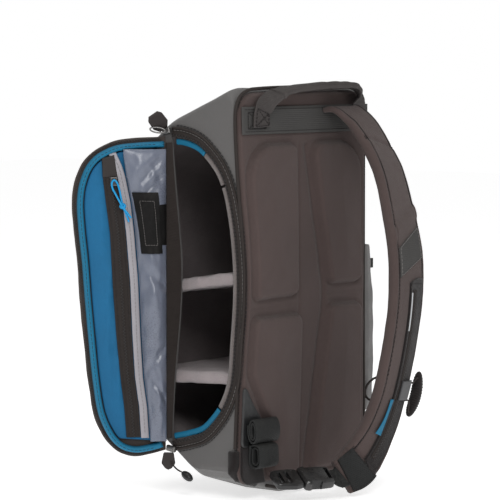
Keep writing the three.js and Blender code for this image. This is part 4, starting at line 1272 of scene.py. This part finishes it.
def makePanel():
    border = roundOutline(panel["border"], 8)
    low, high = panel["low"], panel["high"]
    foot, top = panel["footRadius"], panel["topRadius"]
    columns = int((panel["right"] - panel["left"]) / panel["step"])
    rows = int((high - low) / panel["step"])
    xs = np.linspace(-1, 1, columns + 1)
    zs = np.linspace(low, high, rows + 1)
    points = []
    for z in zs:
        half = panel["right"] + panel["widen"] * (z - low) / (high - low)
        corner = 0.0
        for radius, depth in ((foot, foot - (z - low)), (top, top - (high - z))):
            if depth >= 0:
                corner = radius - math.sqrt(max(0.0, radius**2 - depth**2))
        points.extend((x * (half - corner), z) for x in xs)
    flat = np.array(points)
    rim = insideBy(flat, border)
    height = panel["base"] * np.sqrt(np.clip(1 - (1 - np.clip(rim / 4.0, 0, 1)) ** 2, 0, 1))
    pods = np.zeros(len(flat))
    groove = np.zeros(len(flat))
    for corners in panel["pods"]:
        inner = insideBy(flat, roundOutline(corners, 8))
        share = np.clip((inner + 1.5) / panel["edge"], 0, 1)
        crown = np.clip(inner / 34.0, 0, 1)
        groove = np.maximum(groove, panel["crease"] * np.exp(-(((inner + 2.2) / 1.6) ** 2)))
        pods = np.maximum(pods, panel["pod"] * (0.82 * (1 - (1 - share) ** 2.6) + 0.18 * crown))
    for (x0, z0), (x1, z1), deep, wide in panel["grooves"]:
        along = np.array([x1 - x0, z1 - z0], float)
        rel = flat - (x0, z0)
        share = np.clip(rel @ along / (along @ along), 0, 1)
        gone = np.linalg.norm(rel - share[:, None] * along, axis=1)
        groove = np.maximum(groove, deep * np.exp(-((gone / wide) ** 2)) * (pods < 1.5))
    back = []
    for (x, z), t, p in zip(flat, height, pods):
        soft = 0.5 * ripple((x, 0, z), 34.0, 3.0) + 0.25 * ripple((x, 0, z), 13.0, 8.0)
        back.append(bowed(x, -0.3 - t - p - soft * min(1.0, t / 4.0), z))
    back = np.array(back) + np.stack([np.zeros(len(flat)), groove, np.zeros(len(flat))], 1)
    front = np.array([bowed(x, -0.25, z) for x, z in flat])
    size = len(flat)
    faces = gridFaces(rows + 1, columns + 1) + gridFaces(rows + 1, columns + 1, first=size)
    ids = [i for i in range(columns + 1)]
    ids += [j * (columns + 1) + columns for j in range(1, rows + 1)]
    ids += [rows * (columns + 1) + i for i in reversed(range(columns))]
    ids += [j * (columns + 1) for j in reversed(range(1, rows))]
    for n, a in enumerate(ids):
        b = ids[(n + 1) % len(ids)]
        faces.append((a, b, size + b, size + a))
    piece = makeMesh("backPanel", [*back, *front], faces, "knit", "knit", ["back_panel"])


makePanel()

# the low left corner is faced with dark knit
cornerFace = {
    "left": -98.0, "right": -61.0, "low": 15.4, "high": 54.0, "y": -3.6,
    "radius": 14.0, "roundTo": 29.0, "slant": 9.0,
}


def onCornerFace(p, q, t):
    z = cornerFace["low"] + (cornerFace["high"] - cornerFace["low"]) * q
    rest = max(0.0, cornerFace["roundTo"] - z)
    radius = cornerFace["radius"]
    left = cornerFace["left"] + radius - math.sqrt(max(0.0, radius**2 - rest**2))
    right = cornerFace["right"] - cornerFace["slant"] * q
    return bowed(left + (right - left) * p, cornerFace["y"] - t, z)


slabPiece("cornerFacing", onCornerFace, (22, 22), 0.0, 2.6, "cornerKnit", "leatherette", (), 1.6)

pipingPath = [
    (-101.6, -0.4, 52), (-101.6, -0.4, 120), (-101.6, -0.4, 170), (-101.6, -0.4, 215),
    (-101.6, -0.4, 260), (-101.6, -0.4, 310), (-101.6, -0.4, 366), (-101.2, -1, 380),
    (-96, -1.6, 393), (-84, -1.8, 399.6), (-66, -1.7, 401.4), (66, -1.7, 401.4),
    (84, -1.8, 399.6), (96, -1.6, 393), (101.2, -1, 380), (101.6, -0.4, 366),
    (101.6, -0.4, 200), (102, -1.2, 34), (100.6, -2.4, 16), (89, -1.8, 5), (40, -1, 4.4),
    (-20, -1, 4.4), (-54, -1, 11),
]
pipeLine = evenly(spline([bowed(*p) for p in pipingPath], 420), 420)
tubePiece("seamPiping", pipeLine, 1.7, "zipCloth", "zip_cloth", ["back_piping"])


def besideSeam(inward, depth):
    # the seam's line moved in towards the panel's middle
    out = []
    for x, z in spline(pipingPath, 300)[:, [0, 2]]:
        if z < seamThread["foot"] or (x > 0 and z < 2 * seamThread["foot"]):
            continue
        if z > seamThread["top"]:
            out.append(bowed(x + -x / 120.0 * inward, -depth, z + -1.0 * inward))
        else:
            out.append(bowed(x + math.copysign(1.0, -x) * inward, -depth, z))
    return out


seamThread = {"inward": 3.4, "depth": 1.1, "foot": 30.0, "top": 388.0}
stitch(besideSeam(seamThread["inward"], seamThread["depth"]), "darkThread", 2.6, 1.5, 0.34)

yokeLook = {"low": 357.0, "high": 384.0, "near": -98.6, "far": 98.6, "y": -5.6}


def onYoke(p, q, t):
    x = yokeLook["near"] + (yokeLook["far"] - yokeLook["near"]) * p
    z = yokeLook["low"] + (yokeLook["high"] - yokeLook["low"]) * q
    return bowed(x, yokeLook["y"] - t - 0.25 * ripple((x, 0, z), 25.0, 4.0), z)


slabPiece("topYoke", onYoke, (70, 16), 0.0, 2.2, "yokeWeb", "webbing", ["top_yoke"], 1.2)
for q in (0.1, 0.9):
    stitch([onYoke(p, q, 2.4) for p in np.linspace(0.02, 0.98, 90)], "darkThread", 2.6, 1.4, 0.36)
for low, high in ((0.04, 0.18), (0.84, 0.96)):
    box = [
        (low, 0.2), (high, 0.2), (high, 0.8), (low, 0.8),
        (low, 0.2), (high, 0.8), (low, 0.8), (high, 0.2),
    ]
    line = [onYoke(p, q, 2.7) for p, q in box]
    for a, b in zip(line, line[1:]):
        stitch([a, b], "darkThread", 1.9, 0.8, 0.42)
print("back dressed")


def stations(path, count):
    # points, sides, widths and thicknesses along a path of rows, mixed between the rows
    points = spline([p[0] for p in path], count)
    spans = len(path) - 1
    sides, widths, thicks = [], [], []
    for n in range(count + 1):
        share = spans * n / count
        i = min(spans - 1, int(share))
        mix = share - i
        sideA, sideB = (np.array(row[1], float) for row in path[i : i + 2])
        sides.append(unit(sideA * (1 - mix) + sideB * mix))
        widths.append(path[i][2] * (1 - mix) + path[i + 1][2] * mix)
        thicks.append(path[i][3] * (1 - mix) + path[i + 1][3] * mix)
    return points, np.array(sides), np.array(widths), np.array(thicks)


strapPath = [  # point, direction of the width, width, thickness
    ((46, -9.4, 379), (1, 0, 0), 45, 5),
    ((46, -20, 379.5), (1, 0, 0), 45, 6),
    ((52, -34, 368), (1, 0.1, 0), 46, 9),
    ((56, -50, 345), (0.97, 0.2, 0), 49, 11),
    ((58, -65, 319), (0.97, 0.2, 0), 52, 11),
    ((55, -78, 287), (0.98, 0.18, 0), 54, 11),
    ((49.5, -93, 238), (0.98, 0.15, 0), 58, 11),
    ((46, -96, 195), (0.98, 0.15, 0), 58, 11),
    ((42.5, -91, 145), (0.98, 0.15, 0), 58, 11),
    ((39, -81, 97), (0.97, 0.12, -0.1), 55, 11),
    ((31, -71, 60), (0.9, 0.05, -0.35), 52, 11),
    ((13, -63, 31), (0.76, -0.1, -0.6), 50, 11),
    ((-7, -58, 19), (0.58, -0.3, -0.72), 38, 8),
]
strapSteps = 220
strapPoints, strapSides, strapWidths, strapThicks = stations(strapPath, strapSteps)
strapAcross, strapOut = frames(strapPoints, strapSides)


def onStrap(s, w, t):
    at = min(0.9999, max(0.0, s)) * strapSteps
    i = int(at)
    mix = at - i
    spot = []
    for k in (i, i + 1):
        spot.append(
            strapPoints[k] + strapAcross[k] * w * strapWidths[k] / 2
            + strapOut[k] * (strapThicks[k] / 2 + t)
        )
    return spot[0] * (1 - mix) + spot[1] * mix


padGroove = {"deep": 0.9, "at": 0.80, "wide": 0.03, "edge": 0.86}
padFolds = [  # where along the strap, its slant, height, half width, how sharp
    (0.25, 0.02, -1.2, 0.007, 2),
    (0.452, -0.026, 1.6, 0.011, 4),
    (0.9, 0.0, -1.2, 0.005, 2),
]


def strapSection(i):
    # foam between two faces: a bound edge, a sewn groove and a crowned middle
    half = strapThicks[i] / 2
    wide = strapWidths[i] / 2
    upper = []
    for w in np.linspace(-1, 1, 41):
        edge = max(0.0, (abs(w) - padGroove["edge"]) / (1 - padGroove["edge"]))
        crown = half * math.sqrt(max(0.0, 1 - edge**2.2))
        off = (abs(w) - padGroove["at"]) / padGroove["wide"]
        groove = padGroove["deep"] * math.exp(-(off**2))
        upper.append((w, crown - groove * min(1.0, half / 5)))
    s = i / strapSteps
    ring = []
    for face in (1, -1):
        order = upper if face > 0 else upper[::-1][1:-1]
        for w, h in order:
            place = strapPoints[i] + strapAcross[i] * w * wide
            soft = 0.45 * ripple(place, 26.0, 2.0 + face) + 0.2 * ripple(place, 9.0, 5.0)
            fold = 0.0
            if face > 0:
                for at, slant, high, near, sharp in padFolds:
                    fold += high * math.exp(-(((s - at - slant * w) / near) ** sharp))
            ring.append(place + strapOut[i] * face * (h + (soft + fold) * min(1.0, h / 3)))
    return ring


strapPiece = makeMesh(
    "strapPad", *loftRings([strapSection(i) for i in range(strapSteps + 1)]), "knit", "knit",
    ["strap_pad"],
)
padSeam = {"turns": 230, "from": 0.06, "run": 0.88, "sway": 0.05}
for side in (-1, 1):
    zigzag = []
    for n in range(padSeam["turns"]):
        s = padSeam["from"] + padSeam["run"] * n / (padSeam["turns"] - 1)
        sway = padSeam["sway"] if n % 2 else -padSeam["sway"]
        zigzag.append(onStrap(s, side * (padGroove["at"] + sway), -0.15))
    for a, b in zip(zigzag, zigzag[1:]):
        stitch([a, b], "darkThread", 3.0, 0.1, 0.5)
    seam = [onStrap(s, side * 0.9, -0.9) for s in np.linspace(0.05, 0.96, 260)]
    stitch(seam, "darkThread", 2.2, 1.5, 0.3)

strapTrim = [
    {"name": "strapPatch", "node": "strap_patch", "look": "yokeWeb", "slot": "webbing",
     "s": (0.474, 0.526), "w": (-0.76, 0.76), "slant": -0.04, "t": (-0.4, 1.2), "sewn": "thread"},
    {"name": "strapPocket", "node": "strap_pocket", "look": "cornerKnit", "slot": "webbing",
     "s": (0.5455, 0.909), "w": (-0.1, 0.76), "slant": 0.0, "t": (-0.3, 1.9), "sewn": "darkThread"},
    {"name": "strapZip", "node": "strap_zip", "look": "zipCloth", "slot": "zip_cloth",
     "s": (0.568, 0.886), "w": (0.05, 0.3), "slant": 0.0, "t": (1.9, 2.9), "sewn": ""},
    {"name": "endPatch", "node": "end_patch", "look": "bandWeb", "slot": "webbing",
     "s": (0.905, 0.991), "w": (-0.94, 0.94), "slant": 0.0, "t": (-0.6, 1.5), "sewn": "darkThread"},
    {"name": "silverStrip", "node": "silver_strip", "look": "silverTape", "slot": "silver_tape",
     "s": (0.573, 0.636), "w": (-0.02, 0.05), "slant": 0.0, "t": (1.7, 2.5), "sewn": ""},
]
for trim in strapTrim:
    (s0, s1), (w0, w1), slant = trim["s"], trim["w"], trim["slant"]

    def onTrim(p, q, t):
        taper = 1.0
        if trim["name"] == "strapPocket":
            ends = min(q, 1 - q)
            taper = min(1.0, 0.45 + ends / 0.05)
        w = w1 - (w1 - w0) * (1 - p) * taper
        return onStrap(s0 + (s1 - s0) * q + slant * (p - 0.5), w, t)

    along = max(8, int((s1 - s0) * 260))
    slabPiece(
        trim["name"], onTrim, (18, along), *trim["t"], trim["look"], trim["slot"], [trim["node"]], 1.0
    )
    if trim["sewn"]:
        loop = [(0.05, q) for q in np.linspace(0.03, 0.97, 40)]
        loop += [(p, 0.97) for p in np.linspace(0.05, 0.95, 12)]
        loop += [(0.95, q) for q in np.linspace(0.97, 0.03, 40)]
        loop += [(p, 0.03) for p in np.linspace(0.95, 0.05, 12)]
        stitch([onTrim(p, q, trim["t"][1] + 0.15) for p, q in loop], trim["sewn"], 2.2, 1.4, 0.3)
zipLine = np.array([onStrap(s, 0.175, 2.9) for s in np.linspace(0.572, 0.882, 140)])
zipSide = np.array([onStrap(s, 0.3, 2.9) for s in np.linspace(0.572, 0.882, 140)]) - zipLine
zipOut = np.array([onStrap(s, 0.175, 4.0) for s in np.linspace(0.572, 0.882, 140)]) - zipLine
zipTeeth("strapTeeth", zipLine, zipSide, zipOut, 1.5, 1.7, 0.7)
print("strap made")

handlePath = [
    ((-72, -10.1, 364), (1, 0, 0), 25, 2.2),
    ((-72, -10.8, 379), (0.99, -0.06, 0), 21, 2.2),
    ((-64, -13, 390), (0.6, -0.7, -0.45), 17, 2.6),
    ((-48, -15, 398), (0.1, -1, 0), 20, 5),
    ((-10, -16, 402), (0, -1, 0.1), 21, 6),
    ((30, -16, 403), (0, -1, 0.1), 21, 6),
    ((60, -15, 402.5), (-0.1, -1, 0), 21, 4),
    ((74, -13, 397), (-0.6, -0.7, -0.45), 20, 2.6),
    ((79.5, -10.8, 387), (-0.99, -0.06, 0), 20, 2.2),
    ((79.5, -10.1, 372), (-1, 0, 0), 20, 2.2),
]
handlePoints, handleSides, handleWidths, handleThicks = stations(handlePath, 120)
handleAcross, handleOut = frames(handlePoints, handleSides)


def barRing(i, points, across, out, widths, thicks, grow=0.0, power=4.0):
    ring = []
    for angle in np.linspace(0, 2 * math.pi, 28, endpoint=False):
        c, s = math.cos(angle), math.sin(angle)
        a = math.copysign(abs(c) ** (2 / power), c)
        b = math.copysign(abs(s) ** (2 / power), s)
        ring.append(
            points[i] + across[i] * a * (widths[i] / 2 + grow) + out[i] * b * (thicks[i] / 2 + grow)
        )
    return ring


handleRings = [
    barRing(i, handlePoints, handleAcross, handleOut, handleWidths, handleThicks, 0.0, 7.0)
    for i in range(121)
]
makeMesh("grabHandle", *loftRings(handleRings), "handleWeb", "webbing", ["grab_handle"])
sleeve = []
for i in range(36, 92):
    swell = 0.9 + 0.25 * math.sin(i * 0.9)
    sleeve.append(barRing(
        i, handlePoints, handleAcross, handleOut, handleWidths, handleThicks, swell, 6.0
    ))
makeMesh("handleSleeve", *loftRings(sleeve), "handleWeb", "webbing")
for side in (-0.86, 0.86):
    stitch(
        [handlePoints[i] + handleAcross[i] * side * handleWidths[i] / 2
         + handleOut[i] * (handleThicks[i] / 2 + 0.1) for i in range(2, 35)],
        "darkThread", 2.2, 1.4, 0.3,
    )
for a, b in (((1, -0.8), (14, -0.8)), ((14, -0.8), (14, 0.8)), ((14, 0.8), (1, 0.8)),
             ((1, 0.8), (1, -0.8)), ((1, -0.8), (14, 0.8)), ((1, 0.8), (14, -0.8))):
    line = []
    for i, side in (a, b):
        face = handleThicks[i] / 2 + 0.3
        line.append(handlePoints[i] + handleAcross[i] * side * handleWidths[i] / 2 - handleOut[i] * face)
    stitch(line, "darkThread", 2.2, 1.0, 0.5)
print("handle made")

keeper = {"s": 0.735, "w": (0.1, 0.72), "t": (3.0, 5.2)}
slabPiece(
    "keeperLoop",
    lambda p, q, t: onStrap(
        keeper["s"] + (q - 0.5) * 0.034,
        keeper["w"][0] + (keeper["w"][1] - keeper["w"][0]) * p,
        t,
    ),
    (16, 8), *keeper["t"], "elastic", "webbing", ["keeper_loop"], 1.0,
)


def bandPiece(name, line, place, x0, x1, thick, material, slot, replaced=()):
    # a flat band that follows a line in a plane, from x0 to x1 across it
    line = np.asarray(line, float)
    along = np.gradient(line, axis=0)
    along /= np.maximum(1e-9, np.linalg.norm(along, axis=1))[:, None]
    out = np.stack([along[:, 1], -along[:, 0]], 1)
    rings = []
    for point, side in zip(line, out):
        ring = []
        for share, grow in ((0.0, 0.3), (0.02, 1.0), (0.5, 1.0), (0.98, 1.0), (1.0, 0.3)):
            ring.append(place(*(point + side * thick / 2 * grow), x0 + (x1 - x0) * share))
        for share, grow in ((1.0, 0.3), (0.98, 1.0), (0.5, 1.0), (0.02, 1.0), (0.0, 0.3)):
            ring.append(place(*(point - side * thick / 2 * grow), x0 + (x1 - x0) * share))
        rings.append(ring)
    return makeMesh(name, *loftRings(rings), material, slot, replaced)


rollLineAt = spline([onStrap(0.706, 1.24, 3), onStrap(0.745, 1.33, 3.6), onStrap(0.784, 1.2, 3)], 80)
tubePiece(
    "elasticRoll", rollLineAt,
    lambda s: (5.2 + 0.28 * math.sin(s * 110)) * (1 - abs(2 * s - 1) ** 2.6) ** 0.5 + 0.5,
    "cornerKnit", "webbing", ["elastic_roll"], 20,
)
for s, far in ((0.722, 0.716), (0.752, 0.774)):
    loop = [
        onStrap(s, 0.6, 4.2), onStrap(s, 0.82, 5.0),
        onStrap(far, 1.05, 4.6), onStrap(far, 1.26, 3.6),
    ]
    tubePiece("rollCord", spline(loop, 16), 0.9, "zipCloth", "zip_cloth", (), 8)
slabPiece(
    "blueTab",
    lambda p, q, t: onStrap(
        0.752 + 0.082 * q,
        -0.26 + (0.2 + 0.16 * q**2) * p - 0.14 * q,
        t + 1.2 * math.sin(math.pi * q) * (1 - p),
    ),
    (8, 14), 1.4, 2.4, "blueRim", "blue_cloth", ["blue_tab"], 0.7,
)

hardCopy("buckleSocket", "buckle_socket", "plastic", "plastic", 1.1)
hardCopy("buckleTongue", "buckle_tongue", "plastic", "plastic", 0.8)
softCopy("strapTail", "strap_tail", "bandWeb", "webbing", voxel=0.7, rounds=2)
softCopy("footWing", "wing", "leatherette", "leatherette", voxel=1.0, rounds=5, crease=0.5, seed=4.0)
softCopy(
    "footCorner", "corner_knit", "cornerKnit", "leatherette",
    voxel=1.3, rounds=6, crease=0.6, seed=7.0,
)

webbingRoll = {"from": -94.0, "wide": 36.0, "thick": 2.1}


def rollLine():
    # the spiral's end lies inside, and the band leaves it below
    line = []
    for angle in np.linspace(-2.5 * math.pi, 2.15 * math.pi, 120):
        out = (angle + 2.5 * math.pi) / (4.65 * math.pi)
        wobble = 1 + 0.05 * math.sin(angle * 1.7)
        y = -16.4 + (1.3 + 5.4 * out) * math.cos(angle) * wobble
        z = 70 + (6.4 + 5.6 * out) * math.sin(angle) * wobble
        line.append((y, z))
    return evenly(line, 120)


bandPiece(
    "webRoll", rollLine(), lambda a, b, t: np.array([t, a, b]), webbingRoll["from"],
    webbingRoll["from"] + webbingRoll["wide"], webbingRoll["thick"], "bandWeb", "webbing", ["web_roll"],
)
loopLine = evenly(
    spline([(y, z, 0) for y, z in [
        (-11.6, 55.2), (-10.9, 45), (-11.2, 37), (-14.5, 34.3), (-20, 34.2), (-23.6, 37.5),
        (-23.9, 45), (-22.6, 54), (-18.5, 55.9), (-13.6, 55.6),
    ]], 60)[:, :2], 60,
)
bandPiece(
    "webLoop", loopLine, lambda a, b, t: np.array([t, a, b]), -92.0, -92.0 + 28.8, 2.0, "bandWeb",
    "webbing", ["web_loop"],
)
innerLoop = np.array([17.6, 44.8]) * (-1, 1) + (loopLine - (-17.6, 44.8)) * (0.56, 0.74)
bandPiece(
    "webLoopInner", innerLoop, lambda a, b, t: np.array([t, a, b]), -91.0, -64.0, 1.8, "bandWeb",
    "webbing",
)
print("foot dressed")

softCopy(
    "sidePocket", "side_pocket", "shellCloth", "shell_cloth",
    voxel=1.4, rounds=10, crease=0.9, seed=2.0,
)
softCopy("pocketTab", "pocket_tab", "webbing", "webbing", voxel=0.6, rounds=2)
softCopy("sideRing", "side_cord_ring", "zipCloth", "zip_cloth", voxel=0.5, rounds=2)
for name, node, look, slot, size in (
    ("topSlider", "slider_top", "metal", "slider_metal", 1.2),
    ("footSlider", "slider_foot", "metal", "slider_metal", 1.2),
    ("footPull", "pull_tab_foot", "rubber", "rubber", 0.7),
):
    hardCopy(name, node, look, slot, size)

topTab = {
    "root": (-104.5, 88.0, 360.8), "tip": (-119.5, 89.0, 376.0), "side": (0.527, -0.628, 0.57),
    "wide": 17.0, "ring": (-113.5, 88.2, 360.4), "ringWide": 7.5, "ringHigh": 2.6,
}


def onTopTab(p, q, t):
    root, tip, side = (np.array(topTab[key]) for key in ("root", "tip", "side"))
    along = tip - root
    out = unit(np.cross(along, side))
    share = np.interp(q, (0.0, 0.3, 0.8, 1.0), (0.5, 1.0, 0.96, 0.6))
    return root + along * q + side * (p - 0.5) * topTab["wide"] * share + out * t


slabPiece("topPull", onTopTab, (10, 16), -1.3, 1.3, "rubber", "rubber", ["pull_tab_top"], 1.4)
pullRing = []
for angle in np.linspace(0, 2 * math.pi, 28, endpoint=False):
    right = topTab["ringWide"] * math.cos(angle)
    up = topTab["ringHigh"] * math.sin(angle)
    pullRing.append(np.array(topTab["ring"]) + (0.643 * right, -0.766 * right, up - 0.12 * right))
tubePiece("pullRing", pullRing, 0.75, "metal", "slider_metal", (), 8, closed=True)
softCopy("toggleCord", "toggle_cord", "zipCloth", "zip_cloth", voxel=0.35, rounds=2)
softCopy("toggle", "toggle", "plastic", "plastic", voxel=0.6, rounds=6)

for kind, shapes in stitchShapes.items():
    makeMesh("stitching_" + kind, *joinShapes(shapes), kind, "zip_cloth")
print("stitching made:", {kind: len(shapes) for kind, shapes in stitchShapes.items()})

stageLook = {
    "floor": (250, 250, 250), "glow": 0.6, "world": 0.4, "key": 22.0, "fill": 2.4, "top": 10.0,
}


def areaLight(name, place, aim, power, size):
    data = bpy.data.lights.new(name, "AREA")
    data.energy = power
    data.size = size
    light = bpy.data.objects.new(name, data)
    light.location = place
    light.rotation_euler = (Vector(aim) - Vector(place)).to_track_quat("-Z", "Y").to_euler()
    bpy.context.scene.collection.objects.link(light)


def makeStage(setup):
    data = bpy.data.meshes.new("floor")
    data.from_pydata([(-6, -6, 0), (6, -6, 0), (6, 6, 0), (-6, 6, 0)], [], [(0, 1, 2, 3)])
    floor = bpy.data.objects.new("floor", data)
    floor.location.z = -0.0005
    bpy.context.scene.collection.objects.link(floor)
    material = bpy.data.materials.new("floorPaint")
    material.use_nodes = True
    shader = material.node_tree.nodes["Principled BSDF"]
    shader.inputs["Base Color"].default_value = linear(setup["floor"])
    shader.inputs["Roughness"].default_value = 0.9
    shader.inputs["Emission Color"].default_value = (1.0, 1.0, 1.0, 1.0)
    shader.inputs["Emission Strength"].default_value = setup["glow"]
    data.materials.append(material)
    world = bpy.data.worlds.new("studio")
    world.use_nodes = True
    tree = world.node_tree
    background = tree.nodes["Background"]
    background.inputs["Color"].default_value = (1.0, 1.0, 1.0, 1.0)
    ray = tree.nodes.new("ShaderNodeLightPath").outputs["Is Camera Ray"]
    backdrop = mathNode(tree, "MAXIMUM", ray, setup["world"])
    tree.links.new(backdrop, background.inputs["Strength"])
    bpy.context.scene.world = world
    areaLight("keyLight", (-1.6, -1.5, 1.5), (0, 0, 0.2), setup["key"], 0.9)
    areaLight("fillLight", (0.9, -2.0, 0.9), (0, 0, 0.2), setup["fill"], 1.2)
    areaLight("topLight", (-0.2, 0.2, 2.2), (0, 0, 0.2), setup["top"], 1.4)
    bpy.context.scene.view_settings.view_transform = "Standard"


makeStage(stageLook)
